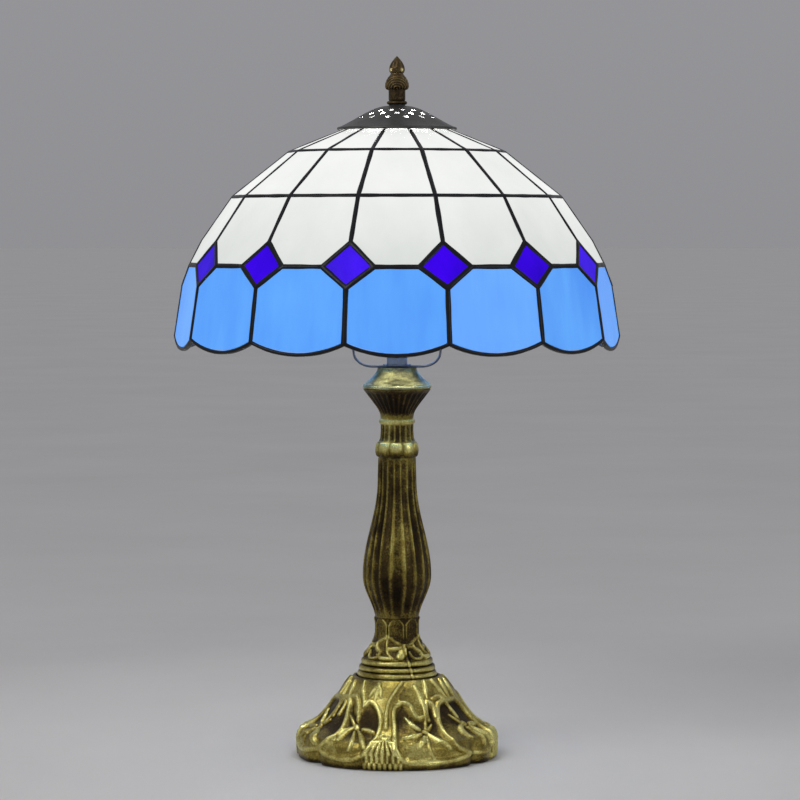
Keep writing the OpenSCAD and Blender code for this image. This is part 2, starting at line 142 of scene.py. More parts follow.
def even(points, step):
    """Points at even distances along a path."""
    s = lengths(points)
    at = np.linspace(0, s[-1], max(2, int(round(s[-1] / step)) + 1))
    return np.stack([np.interp(at, s, points[:, k]) for k in range(points.shape[1])], 1)


def spline(points, closed=False, steps=8):
    """A smooth line through a few points."""
    p = np.asarray(points, float)
    ends = (p[-1:], p[:2]) if closed else (2 * p[:1] - p[1:2], 2 * p[-1:] - p[-2:-1])
    q = np.concatenate([ends[0], p, ends[1]])
    t = np.linspace(0, 1, steps, endpoint=False)[:, None]
    out = []
    for a, b, c, d in zip(q[:-3], q[1:-2], q[2:-1], q[3:]):
        bend = 2 * a - 5 * b + 4 * c - d
        twist = 3 * b - a - 3 * c + d
        out.append(0.5 * (2 * b + (c - a) * t + bend * t**2 + twist * t**3))
    out.append(q[-2:-1])
    return np.concatenate(out)


def ease(low, high, x):
    """0 at low, 1 at high, smooth between them."""
    t = np.clip((x - low) / (high - low), 0, 1)
    return t * t * (3 - 2 * t)


def hump(x, centre, width):
    return np.exp(-(((x - centre) / width) ** 2))


def unit(v):
    return v / np.linalg.norm(v, axis=-1, keepdims=True)


def around(columns):
    """The angles of a turned piece's columns, as one row."""
    return np.linspace(-np.pi, np.pi, columns, endpoint=False)[None, :]


def polar(r, angle, z):
    """Points at radius r, angle and height z."""
    return np.stack(np.broadcast_arrays(r * np.cos(angle), r * np.sin(angle), z), -1)


# ---- Meshes ----


def mesh_of(name, points, faces):
    """A mesh from points in millimetres."""
    mesh = bpy.data.meshes.new(name)
    mesh.from_pydata((np.asarray(points) * MM).tolist(), [], [list(map(int, f)) for f in faces])
    return mesh


def add_piece(name, points, faces, material, body, replaces=(), sharp=50, rub_and_light=None, weld=False):
    """A smooth-shaded piece from points in millimetres, with its faces turned outwards."""
    mesh = mesh_of(name, points, faces)
    # the per-point values carry the casting's wear together with painted light and shade
    if rub_and_light is not None:
        layer = mesh.attributes.new("rub_and_light", "FLOAT", "POINT")
        layer.data.foreach_set("value", np.asarray(rub_and_light, np.float32))
    work = bmesh.new()
    work.from_mesh(mesh)
    if weld:
        bmesh.ops.remove_doubles(work, verts=work.verts, dist=1e-6)
    if work.calc_volume(signed=True) < 0:
        bmesh.ops.reverse_faces(work, faces=work.faces)
    work.to_mesh(mesh)
    work.free()
    mesh.polygons.foreach_set("use_smooth", [True] * len(mesh.polygons))
    mesh.set_sharp_from_angle(angle=math.radians(sharp))
    piece = add_object(name, mesh)
    mesh.materials.append(material)
    place(piece, body, replaces)
    return piece


def place(piece, body, replaces=()):
    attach(piece, body)
    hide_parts(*replaces)


def ring_quads(rows, columns, closed_rows=True):
    """Quads of a grid of rows by columns whose columns go all the way round."""
    r = np.arange(rows if closed_rows else rows - 1)[:, None]
    c = np.arange(columns)[None, :]
    r2, c2 = (r + 1) % rows, (c + 1) % columns
    corners = [r * columns + c, r * columns + c2, r2 * columns + c2, r2 * columns + c]
    return np.stack(corners, -1).reshape(-1, 4)


def out_of(outline):
    """Unit directions out of a closed outline [radius, height]."""
    along = np.roll(outline, -1, 0) - np.roll(outline, 1, 0)
    normal = np.stack([along[:, 1], -along[:, 0]], 1)
    normal /= np.maximum(np.linalg.norm(normal, axis=1, keepdims=True), 1e-9)
    x, y = outline.T
    area = np.sum(x * np.roll(y, -1) - np.roll(x, -1) * y)
    return normal if area > 0 else -normal


def turned(outline, columns, push=0.0):
    """Points and quads of a closed outline turned round Z, with its points moved out of it by push."""
    normal = out_of(outline)
    r = outline[:, :1] + push * normal[:, :1]
    z = outline[:, 1:] + push * normal[:, 1:]
    return polar(r, around(columns), z).reshape(-1, 3), ring_quads(len(outline), columns)


def add_turned(name, outline, material, body, node, columns, push=0.0, rub_and_light=None, sharp=40):
    points, quads = turned(outline, columns, push)
    return add_piece(name, points, quads, material, body, [node], sharp, rub_and_light, weld=True)


def cut(piece, cutters, operation="DIFFERENCE"):
    """Applies a boolean of a piece with each cutter in turn, and removes the cutters."""
    for cutter in cutters:
        change = piece.modifiers.new("cut", "BOOLEAN")
        change.operation = operation
        change.solver = "MANIFOLD"
        change.object = cutter
        bpy.context.view_layer.update()
        made = bpy.data.meshes.new_from_object(piece.evaluated_get(bpy.context.evaluated_depsgraph_get()))
        piece.modifiers.remove(change)
        piece.data = made
        bpy.data.objects.remove(cutter)


def loose_mesh(name, parts):
    """One helper object out of several (points, faces) lists, in millimetres."""
    points, faces, start = [], [], 0
    for p, f in parts:
        points.append(np.asarray(p))
        faces += [[v + start for v in face] for face in f]
        start += len(p)
    mesh = mesh_of(name, np.concatenate(points), faces)
    work = bmesh.new()
    work.from_mesh(mesh)
    bmesh.ops.recalc_face_normals(work, faces=work.faces)
    work.to_mesh(mesh)
    work.free()
    return add_object(name, mesh)


def peg(x, y, z0, z1, radius, sides=24):
    """A closed upright cylinder."""
    a = np.linspace(0, 2 * np.pi, sides, endpoint=False)
    rim = np.stack([x + radius * np.cos(a), y + radius * np.sin(a)], 1)
    points = np.concatenate([np.c_[rim, np.full(sides, z0)], np.c_[rim, np.full(sides, z1)]])
    side = [[k, (k + 1) % sides, sides + (k + 1) % sides, sides + k] for k in range(sides)]
    return points, side + [list(range(sides))[::-1], list(range(sides, 2 * sides))]


def squared(v, squareness):
    """A circle's sines or cosines, moved towards a square's."""
    return np.sign(v) * np.abs(v) ** (2 / squareness)


def sweep(centres, outs, widths, heights, closed, sides=12, squareness=2.6):
    """A bar of rounded oblong section along a line; outs points out of the surface that holds the line."""
    if closed:
        before = centres - np.roll(centres, 1, 0)
        after = np.roll(centres, -1, 0) - centres
    else:
        before = np.diff(centres, axis=0, prepend=2 * centres[:1] - centres[1:2])
        after = np.diff(centres, axis=0, append=2 * centres[-1:] - centres[-2:-1])
    before, after = unit(before), unit(after)
    along = unit(before + after)
    outs = unit(outs - along * np.sum(outs * along, 1, keepdims=True))
    side = np.cross(along, outs)
    sharpest = 0.4
    straightness = (1 + np.clip(np.sum(before * after, 1), -1, 1)) / 2
    mitre = 1 / np.sqrt(np.maximum(straightness, sharpest))
    a = np.linspace(0, 2 * np.pi, sides, endpoint=False)
    across = squared(np.cos(a), squareness)[None, :, None] / 2
    up = squared(np.sin(a), squareness)[None, :, None] / 2
    wide = side[:, None] * across * (widths * mitre)[:, None, None]
    high = outs[:, None] * up * heights[:, None, None]
    points = (centres[:, None] + wide + high).reshape(-1, 3)
    n = len(centres)
    faces = ring_quads(n, sides, closed).tolist()
    if not closed:
        faces += [list(range(sides))[::-1], list(range((n - 1) * sides, n * sides))]
    return points, faces


# ---- Materials ----


class Finish:
    """A material made of nodes, round one Principled shader."""

    def __init__(self, name, **sockets):
        self.material = bpy.data.materials.new(name)
        self.material.use_nodes = True
        self.tree = self.material.node_tree
        self.shader = self.tree.nodes["Principled BSDF"]
        for socket, value in sockets.items():
            self.shader.inputs[socket.replace("_", " ")].default_value = value
        self.place = self.node("ShaderNodeTexCoord").outputs["Object"]

    def node(self, kind, **settings):
        made = self.tree.nodes.new(kind)
        for key, value in settings.items():
            setattr(made, key, value)
        return made

    def link(self, source, target):
        self.tree.links.new(source, target)

    def feed(self, source, socket):
        self.link(source, self.shader.inputs[socket])

    def noise(self, scale, detail=3.0, stretch=(1, 1, 1), roughness=0.55, seed=0.0):
        """Noise between 0 and 1; scale is in patches a metre."""
        move = self.node("ShaderNodeMapping")
        move.inputs["Scale"].default_value = [scale * k for k in stretch]
        move.inputs["Location"].default_value = (seed, seed * 1.7, seed * 0.6)
        self.link(self.place, move.inputs["Vector"])
        made = self.node("ShaderNodeTexNoise")
        made.inputs["Scale"].default_value = 1.0
        made.inputs["Detail"].default_value = detail
        made.inputs["Roughness"].default_value = roughness
        self.link(move.outputs["Vector"], made.inputs["Vector"])
        return made.outputs["Fac"]

    def attribute(self, name):
        return self.node("ShaderNodeAttribute", attribute_name=name).outputs["Fac"]

    def height(self):
        split = self.node("ShaderNodeSeparateXYZ")
        self.link(self.place, split.inputs["Vector"])
        return split.outputs["Z"]

    def math(self, operation, a, b=0.0, clamp=False):
        made = self.node("ShaderNodeMath", operation=operation, use_clamp=clamp)
        for socket, value in zip(made.inputs, (a, b)):
            if isinstance(value, (int, float)):
                socket.default_value = value
            else:
                self.link(value, socket)
        return made.outputs["Value"]

    def spread(self, value, low, high, to_low=0.0, to_high=1.0):
        """value from low..high mapped on to_low..to_high."""
        made = self.node("ShaderNodeMapRange", clamp=True)
        self.link(value, made.inputs["Value"])
        for key, number in (("From Min", low), ("From Max", high), ("To Min", to_low), ("To Max", to_high)):
            made.inputs[key].default_value = number
        return made.outputs["Result"]

    def ramp(self, value, stops):
        made = self.node("ShaderNodeValToRGB")
        band = made.color_ramp
        while len(band.elements) < len(stops):
            band.elements.new(0.5)
        for element, (at, colour) in zip(band.elements, stops):
            element.position = at
            element.color = (*colour, 1)
        self.link(value, made.inputs["Fac"])
        return made.outputs["Color"]

    def bump(self, value, depth, strength=1.0, after=None):
        made = self.node("ShaderNodeBump")
        made.inputs["Strength"].default_value = strength
        made.inputs["Distance"].default_value = depth
        self.link(value, made.inputs["Height"])
        if after is not None:
            self.link(after, made.inputs["Normal"])
        return made.outputs["Normal"]


def cast_metal(name, places, colours, rough=(0.52, 0.27)):
    """Antique plated casting: dark in its hollows, rubbed bright on its ridges; its per-point attribute also
    carries painted light and shade.
    """
    grain, lumps = 0.00022, 0.0006
    f = Finish(name, Metallic=0.92, Specular_IOR_Level=0.5)
    patches = f.noise(70, 4, seed=3)
    fine = f.noise(900, 3, seed=8)
    stain = f.math("MULTIPLY", f.math("SUBTRACT", patches, 0.5), 0.95)
    grit = f.math("MULTIPLY", f.math("SUBTRACT", fine, 0.5), 0.6)
    # real wear and patina mixed with painted light and shade from the per-point attribute
    worn_and_lit = f.math("ADD", f.math("ADD", f.attribute("rub_and_light"), stain), grit, clamp=True)
    f.feed(f.ramp(worn_and_lit, list(zip(places, colours))), "Base Color")
    f.feed(f.spread(worn_and_lit, 0, 1, rough[0], rough[1]), "Roughness")
    coarse = f.bump(f.noise(260, 2, seed=5), lumps, 0.5)
    f.feed(f.bump(fine, grain, 0.7, coarse), "Normal")
    return f.material


def plain_metal(name, colour, rough, scratch=0.00004):
    """Bare or plated sheet metal with fine scratches and faint cloudy patches."""
    f = Finish(name, Metallic=1.0)
    cloud = f.noise(45, 4, seed=2)
    dim = [c * 0.7 for c in colour]
    f.feed(f.ramp(cloud, [(0.3, dim), (0.7, colour)]), "Base Color")
    f.feed(f.spread(f.noise(380, 3, seed=6), 0.2, 0.8, rough * 0.75, rough * 1.3), "Roughness")
    f.feed(f.bump(f.noise(1500, 2, (1, 1, 0.15), seed=9), scratch, 0.6), "Normal")
    return f.material


def painted(name, colour, rough, metallic=0.0, speckle=0.00012, scale=700):
    """Paint, plastic or ceramic with a faint orange peel."""
    f = Finish(name, Metallic=metallic)
    dim = [c * 0.72 for c in colour]
    f.feed(f.ramp(f.noise(60, 4, seed=4), [(0.3, dim), (0.7, colour)]), "Base Color")
    f.feed(f.spread(f.noise(120, 3, seed=7), 0.2, 0.8, rough * 0.8, rough * 1.25), "Roughness")
    f.feed(f.bump(f.noise(scale, 2, seed=1), speckle, 0.5), "Normal")
    return f.material


def lit_glass(name, deep, light, glow, streak, seed, body, gloss, rise_between=None):
    """Opalescent sheet glass with the bulb behind it: wispy colour, lighter between two heights."""
    f = Finish(name, Roughness=0.24, Emission_Strength=glow, Specular_IOR_Level=gloss)
    wisps = f.noise(34, 5, (1, 1, 0.3 * streak), 0.6, seed)
    cloud = f.noise(11, 2, seed=seed + 4)
    mixed = f.math("ADD", f.math("MULTIPLY", wisps, 0.55), f.math("MULTIPLY", cloud, 0.45))
    mixed = f.spread(mixed, 0.3, 0.7)
    if rise_between is not None:
        rise = f.spread(f.height(), *rise_between, 0.0, 0.62)
        mixed = f.math("ADD", f.math("MULTIPLY", mixed, 0.3), rise, clamp=True)
    f.feed(f.ramp(mixed, [(0.0, deep), (1.0, light)]), "Emission Color")
    dim_deep, dim_light = [c * body for c in deep], [c * body for c in light]
    f.feed(f.ramp(mixed, [(0.0, dim_deep), (1.0, dim_light)]), "Base Color")
    ripple = f.bump(f.noise(28, 2, (1, 1, 0.5), seed=seed + 1), 0.0012, 0.35)
    f.feed(f.bump(f.noise(240, 2, seed=seed + 2), 0.0001, 0.4, ripple), "Normal")
    return f.material


def felt_finish():
    f = Finish("felt", Sheen_Weight=0.6, Sheen_Roughness=0.5)
    fuzz = f.noise(1800, 4, seed=3)
    f.feed(f.ramp(fuzz, [(0.3, (0.006, 0.012, 0.007)), (0.7, (0.02, 0.036, 0.022))]), "Base Color")
    f.feed(f.spread(fuzz, 0, 1, 0.85, 1.0), "Roughness")
    f.feed(f.bump(f.noise(2600, 3, seed=5), 0.0006, 0.9), "Normal")
    return f.material


def glowing(name, colour, strength):
    """The frosted dome, lit from inside, a little brighter in some places than others."""
    f = Finish(name, Roughness=0.35, Emission_Strength=strength)
    dim = [c * 0.86 for c in colour]
    f.feed(f.ramp(f.noise(40, 2), [(0.3, dim), (0.7, colour)]), "Emission Color")
    f.shader.inputs["Base Color"].default_value = (0.8, 0.8, 0.78, 1)
    return f.material


BRASS = cast_metal(
    "antique_brass",
    (0.0, 0.3, 0.6, 1.0),
    ((0.012, 0.008, 0.004), (0.052, 0.033, 0.010), (0.29, 0.225, 0.045), (0.84, 0.78, 0.28)),
)
# a paler, greyer copy of the brass for the stem cap: painted reflection of the white light falling on it
BRASS_PAINTED_PALE = cast_metal(
    "brass_painted_pale_by_light",
    (0.0, 0.3, 0.6, 1.0),
    ((0.03, 0.027, 0.017), (0.13, 0.12, 0.06), (0.33, 0.315, 0.13), (0.84, 0.81, 0.44)),
    (0.42, 0.24),
)
BRONZE = cast_metal(
    "dark_bronze",
    (0.0, 0.4, 0.75, 1.0),
    ((0.02, 0.014, 0.008), (0.10, 0.068, 0.03), (0.26, 0.19, 0.075), (0.8, 0.7, 0.3)),
    (0.48, 0.3),
)
LEAD = painted("black_solder", (0.018, 0.018, 0.02), 0.36, 0.75, 0.0003, 420)
CAP = painted("blackened_spun_brass", (0.085, 0.085, 0.08), 0.4, 0.6, 0.0001, 900)
# the cap's lining is painted pale to stand for bulb light seen through the vents: painted light
PAINTED_LIT_LINING = painted("cap_lining_painted_lit", (0.78, 0.77, 0.72), 0.6)
HARP = plain_metal("dark_plated_steel", (0.16, 0.16, 0.165), 0.42)
ZINC = plain_metal("zinc_plated_steel", (0.36, 0.37, 0.38), 0.38)
CONTACT = plain_metal("contact_brass", (0.75, 0.58, 0.25), 0.3)
NICKEL = plain_metal("nickel_plated_cap", (0.72, 0.71, 0.69), 0.2)
BLACK = painted("black_moulded_plastic", (0.022, 0.022, 0.024), 0.45)
WHITE = painted("white_moulded_plastic", (0.82, 0.82, 0.8), 0.35)
CERAMIC = painted("glazed_ceramic", (0.78, 0.76, 0.7), 0.22)
BOARD = painted("white_circuit_board", (0.8, 0.82, 0.78), 0.4)
FELT = felt_finish()
DOME = glowing("frosted_diffuser", (1.0, 0.98, 0.93), 90.0)
WHITE_GLASS = lit_glass(
    "white_opal_glass", (0.585, 0.625, 0.59), (0.98, 0.985, 0.96), 0.78, 1.0, 1.0, 0.28, 0.35, (0.31, 0.39)
)
BLUE_GLASS = lit_glass(
    "sky_blue_glass", (0.07, 0.275, 0.88), (0.13, 0.43, 1.0), 0.82, 0.5, 7.0, 0.35, 0.25
)
COBALT_GLASS = lit_glass("cobalt_glass", (0.012, 0.0, 0.36), (0.055, 0.0, 1.0), 0.98, 1.0, 3.0, 0.08, 0.05)


# ---- Shade: glass panes stay the frame's own; the lead between them is modelled as soldered came ----

PANELS = 14
TURN = 2 * math.pi / PANELS
HALF = TURN / 2
SEAM = np.array([[33, 431.8], [73.9, 415.3], [112.8, 384.5], [145, 338.3], [152.7, 289]])
GLASS_T = 3.0
KITE_W = 17.7
KITE_RISE = 19.1
SCALLOP_DROP = 7.5
CAME_W = 3.7
CAME_H = GLASS_T + 1.0
CAME_H_UNDER_CAP = GLASS_T + 0.7
UNDER_CAP_R = 44
RIM_H = GLASS_T + 0.6


def meet(p, d, q, e):
    """Where the line through p along d meets the line through q along e."""
    return p + d * (((q - p)[0] * e[1] - (q - p)[1] * e[0]) / (d[0] * e[1] - d[1] * e[0]))


def left_of(d):
    return np.array([-d[1], d[0]])


MIDDLE = SEAM * [math.cos(HALF), 1]
ROW_WAY = [unit(MIDDLE[k + 1] - MIDDLE[k]) for k in range(4)]
ROW_OUT = [left_of(w) for w in ROW_WAY]


def middle_at(depth):
    """The profile in the middle of a panel, moved inwards by depth."""
    inner = [MIDDLE[0] - depth * ROW_OUT[0]]
    for k in range(1, 4):
        above, below = MIDDLE[k] - depth * ROW_OUT[k - 1], MIDDLE[k] - depth * ROW_OUT[k]
        inner.append(meet(above, ROW_WAY[k - 1], below, ROW_WAY[k]))
    inner.append(MIDDLE[4] - depth * ROW_OUT[3])
    return np.array(inner)


LEAD_MIDDLE = middle_at(GLASS_T / 2)
LEAD_SEAM = LEAD_MIDDLE / [math.cos(HALF), 1]
KITE_TOP = SEAM[3] + KITE_RISE * unit(SEAM[2] - SEAM[3])
KITE_MID = np.array([SEAM[3][0] - KITE_W * math.sin(HALF), SEAM[3][1]])
KITE_WAY = unit(KITE_MID - KITE_TOP)
KITE_OUT = left_of(KITE_WAY)


def kite_end(k):
    """Where a diamond's middle plane meets the seam, towards the bend k."""
    seam_way = unit(LEAD_SEAM[k] - LEAD_SEAM[3])
    return meet(LEAD_SEAM[3], seam_way, KITE_TOP - GLASS_T / 2 * KITE_OUT, KITE_WAY)


KITE_HIGH, KITE_LOW = kite_end(2), kite_end(4)
KITE_SIDE = (
    (KITE_OUT @ KITE_TOP - GLASS_T / 2 - KITE_OUT[1] * LEAD_MIDDLE[3][1]) / KITE_OUT[0]
    - LEAD_MIDDLE[3][0] * math.cos(HALF)
) / math.sin(HALF)


def on_seam(i, p):
    """The profile's point or direction p = [outwards, up], on the seam after panel i."""
    return polar(p[0], i * TURN + HALF - math.pi / 2, p[1])


def on_panel(i, across, p):
    """The same in panel i, moved sideways."""
    a = i * TURN - math.pi / 2
    return polar(p[0], a, p[1]) + [-across * math.sin(a), across * math.cos(a), 0]


def solder_bar(points, outs, closed=False, width=CAME_W, height=CAME_H):
    """A lead line with the slight swell and dip of hand soldering."""
    both = np.hstack([points, outs])
    if closed:
        both = split_long(np.vstack([both, both[:1]]), 4.0)[:-1]
    else:
        both = split_long(both, 4.0)
    points, outs = both[:, :3], both[:, 3:]
    s = lengths(points)
    phase = RNG.uniform(0, 2 * np.pi, 3)
    ripple = np.zeros(len(s))
    for k, (swing, wave) in enumerate(((0.035, 5.1), (0.03, 2.9), (0.02, 11))):
        ripple += swing * np.sin(s / wave + phase[k])
    under_cap = np.linalg.norm(points[:, :2], axis=1) < UNDER_CAP_R
    high = np.where(under_cap, CAME_H_UNDER_CAP, height * (1 + ripple * 0.6))
    return sweep(points, outs, width * (1 + ripple), high, closed)


def seam_lines():
    """The lines from the cap down to each diamond, and from the diamond down to the rim."""
    high_outs = [ROW_OUT[0], unit(ROW_OUT[0] + ROW_OUT[1]), unit(ROW_OUT[1] + ROW_OUT[2]), ROW_OUT[2]]
    high = [*LEAD_SEAM[:3], KITE_HIGH]
    bars = []
    for i in range(PANELS):
        bars.append(solder_bar([on_seam(i, p) for p in high], [on_seam(i, d) for d in high_outs]))
        low = [on_seam(i, KITE_LOW), on_seam(i, LEAD_SEAM[4])]
        bars.append(solder_bar(low, [on_seam(i, ROW_OUT[3])] * 2, width=CAME_W * 1.1))
    return bars


def ring_lines():
    """The lines round the shade, between the rows and along the rim."""
    bars = []
    for k in (0, 1, 2):
        out = unit(ROW_OUT[max(k - 1, 0)] + ROW_OUT[k])
        corners = [on_seam(i, LEAD_SEAM[k]) for i in range(PANELS)]
        bars.append(solder_bar(corners, [on_seam(i, out) for i in range(PANELS)], closed=True))
    bend_out = unit(ROW_OUT[2] + ROW_OUT[3])
    for i in range(PANELS):
        ends = [on_panel(i, side * KITE_SIDE, LEAD_MIDDLE[3]) for side in (-1, 1)]
        bars.append(solder_bar(ends, [on_panel(i, 0, bend_out)] * 2))
    bars.append(rim_line())
    return bars


def rim_line():
    """The scalloped edge, one closed line round the shade."""
    half = MIDDLE[4][0] * math.tan(HALF)
    radius = (half**2 + SCALLOP_DROP**2) / (2 * SCALLOP_DROP)
    widest = math.asin(half / radius)
    points, outs = [], []
    for i in range(PANELS):
        for a in np.linspace(-widest, widest, 13)[:-1]:
            drop = radius * (math.cos(a) - math.cos(widest))
            across = radius * math.sin(a) * LEAD_MIDDLE[4][0] / MIDDLE[4][0]
            points.append(on_panel(i, across, LEAD_MIDDLE[4] + drop * ROW_WAY[3]))
            outs.append(on_panel(i, 0, ROW_OUT[3]))
    return solder_bar(points, outs, closed=True, width=CAME_W * 0.68, height=RIM_H)


def diamond_lines():
    """The frames of the diamonds, a little bolder than the other lines."""
    bars = []
    for i in range(PANELS):
        right = on_panel(i + 1, -KITE_SIDE, LEAD_MIDDLE[3])
        left = on_panel(i, KITE_SIDE, LEAD_MIDDLE[3])
        corners = [on_seam(i, KITE_HIGH), right, on_seam(i, KITE_LOW), left]
        bars.append(solder_bar(corners, [on_seam(i, KITE_OUT)] * 4, closed=True, width=CAME_W * 1.14))
    return bars


def add_came():
    came = loose_mesh("soldered_came", seam_lines())
    cut(came, [loose_mesh("rings", ring_lines()), loose_mesh("diamonds", diamond_lines())], "UNION")
    came.data.materials.clear()
    came.data.materials.append(LEAD)
    came.data.polygons.foreach_set("use_smooth", [True] * len(came.data.polygons))
    came.data.set_sharp_from_angle(angle=math.radians(60))
    place(came, "shade", ["came"])


add_came()


# ---- Vase cap and finial ----

HUB_Z = top("vase_cap")
CAP_WALL = 0.55
VENT_ROWS = ((17.8, 1.75), (22.2, 1.85), (26.8, 1.95))
VENTS = 14
LINED_R = 39.5


def add_vase_cap():
    dome = bezier([[8, HUB_Z], [17.5, HUB_Z - 0.6], [31, HUB_Z - 11.2], [40.3, HUB_Z - 14.6]], 48)
    along = np.gradient(dome, axis=0)
    inwards = np.stack([along[:, 1], -along[:, 0]], 1) / np.linalg.norm(along, axis=1, keepdims=True)
    lining = (dome + inwards * CAP_WALL)[:-2]
    rolled_edge = oval(dome[-1] + [-0.4, -0.8], (1.1, 1.1), 70, -200, 16)
    outline = path([[3.3, HUB_Z]], dome[:-1], rolled_edge, lining[::-1], [[3.3, HUB_Z - CAP_WALL]])
    points, quads = turned(split_long(outline, 1.2), 224)
    cap = add_piece("vented_vase_cap", points, quads, CAP, "shade", ["vase_cap"], weld=True)
    holes = []
    for row, (radius, hole) in enumerate(VENT_ROWS):
        for i in range(VENTS):
            a = (i + row / 2) * 2 * math.pi / VENTS
            holes.append(peg(radius * math.cos(a), radius * math.sin(a), HUB_Z - 18, HUB_Z + 5, hole))
    cut(cap, [loose_mesh("vents", holes)])
    # the underside inside the vents takes the pale painted-light lining
    cap.data.materials.append(PAINTED_LIT_LINING)
    for face in cap.data.polygons:
        radius = math.hypot(face.center.x, face.center.y) / MM
        if face.normal.z < -0.2 and radius < LINED_R:
            face.material_index = 1
    cap.data.set_sharp_from_angle(angle=math.radians(40))


add_vase_cap()


def add_finial():
    """The dark cast finial: a flange, a plain neck, a swirled belly and a leafy bud."""
    z = bottom("finial")
    belly_low, neck = z + 10.4, z + 21.3
    outline = path(
        [[0, 461.5], [3.2, 460], [3.2, z]],
        oval((5.3, z + 1.3), (1.7, 1.3), -90, 90, 12),
        [[5.75, z + 3.4], [5.75, belly_low]],
        bezier([[6.4, belly_low], [8.9, z + 11.4], [7.9, z + 15.4], [6.1, z + 18.4]], 20),
        bezier([[5.6, z + 19.2], [4.9, z + 20.2], [4.3, z + 20.6], [4.3, neck]], 8),
        bezier([[4.6, neck + 0.4], [6.8, z + 24.4], [4.1, z + 29.4], [0, top("finial")]], 24),
    )
    outline = split_long(outline, 0.4)
    columns = 200
    a = around(columns)
    r, h = outline[:, :1], outline[:, 1:] - z
    outside = r > 3.3
    # three fans of nested arches round the belly
    sector = 2 * np.pi / 3
    across = ((a + np.pi / 2 + sector / 2) % sector - sector / 2) * 7.2
    nest = np.hypot(across / 1.15, h - 10.6)
    belly = ease(10.2, 11, h) * ease(19.2, 18, h) * outside
    arches = np.cos(2 * np.pi * nest / 1.75) * belly
    # a collar of four leaves under the bud, rubbed bright
    leaves = np.maximum(0, np.cos(4 * (a + np.pi / 2 - 0.68))) ** 2 * hump(h, 23.6, 1.25) * outside
    veins = np.cos(10 * (a + np.pi / 2)) * ease(24.5, 26, h) * ease(32.5, 30, h) * outside
    beads = np.cos(24 * a) * hump(h, 10.5, 0.7) * outside
    push = 0.3 * arches + 0.75 * leaves + 0.16 * veins + 0.22 * beads
    push = np.where(outside, push, 0) * np.minimum(1, r / 3.0)
    rub_and_light = 0.4 + 0.2 * arches + 0.85 * leaves + 0.14 * veins + 0.15 * beads - 0.12 * (h < belly_low - z)
    rub_and_light = np.clip(rub_and_light, 0, 1).ravel()
    add_turned("cast_finial", outline, BRONZE, "finial", "finial", columns, push, rub_and_light)


add_finial()


# ---- Stand ----

FRONT = math.radians(-97.8)
FOOT_R = reach("foot")
FOOT_TOP = top("foot")
LIP_R = 28.3
SEAT_Z = 50.5
ROD_HOLE_R = 5.3
EDGE_Z = 0.3

# Relief on half of the foot, as (degrees from the front fan, millimetres down the outline from the lip).
# The other half repeats it. A stroke is (height, half-widths at its start, middle and end) and a line.
BEAD = (1.35, (1.75, 1.75, 1.75))
THIN = (0.8, (0.75, 0.8, 0.7))
REED = (1.2, (0.7, 1.0, 1.2))
TOOTH = (1.0, (0.6, 0.95, 0.9))
SPIKE = (1.3, (1.1, 2.0, 0.7))
SEED = (1.5, (1.7, 1.8, 1.7))

LEFT_BORDER = [
    (-22, 22), (-19, 19), (-13, 21), (-8, 26), (-5, 34), (-5, 45), (-8, 57), (-13, 64),
    (-19, 67), (-30, 67), (-40, 64.5), (-45, 61),
]
RIGHT_BORDER = [
    (30, 30.5), (25, 31), (22, 27), (20, 22), (14, 19.5), (9, 21), (5, 26), (6, 40),
    (7, 59), (11, 66), (16, 68.3), (27, 68.6), (39, 68.4), (48, 67), (56, 65),
]
LEFT_OUTER = [
    (-57, 19), (-50, 18), (-45, 18.5), (-40, 24), (-36, 34.5), (-34.5, 43.5), (-36, 53), (-43, 61.5),
    (-51, 64), (-61, 65.5), (-72, 64), (-80, 58), (-84, 48), (-85, 36), (-84, 26), (-79, 20.5),
    (-70, 19),
]
RIGHT_OUTER = [
    (65, 20), (56, 20), (48, 22.5), (44, 29), (42, 36), (41.5, 43), (42, 51), (44, 58.5),
    (50, 62.5), (57, 65), (67, 66), (77, 63.5), (82, 57), (85, 45), (85, 34), (82, 26),
    (76, 20.5),
]
LEFT_FIELD = LEFT_BORDER + LEFT_OUTER[7:2:-1] + [(-34, 20), (-28, 28)]
RIGHT_FIELD = RIGHT_BORDER[4:] + RIGHT_OUTER[8:3:-1] + [(43, 27), (39, 21), (34, 25), (30, 31), (24, 30)]

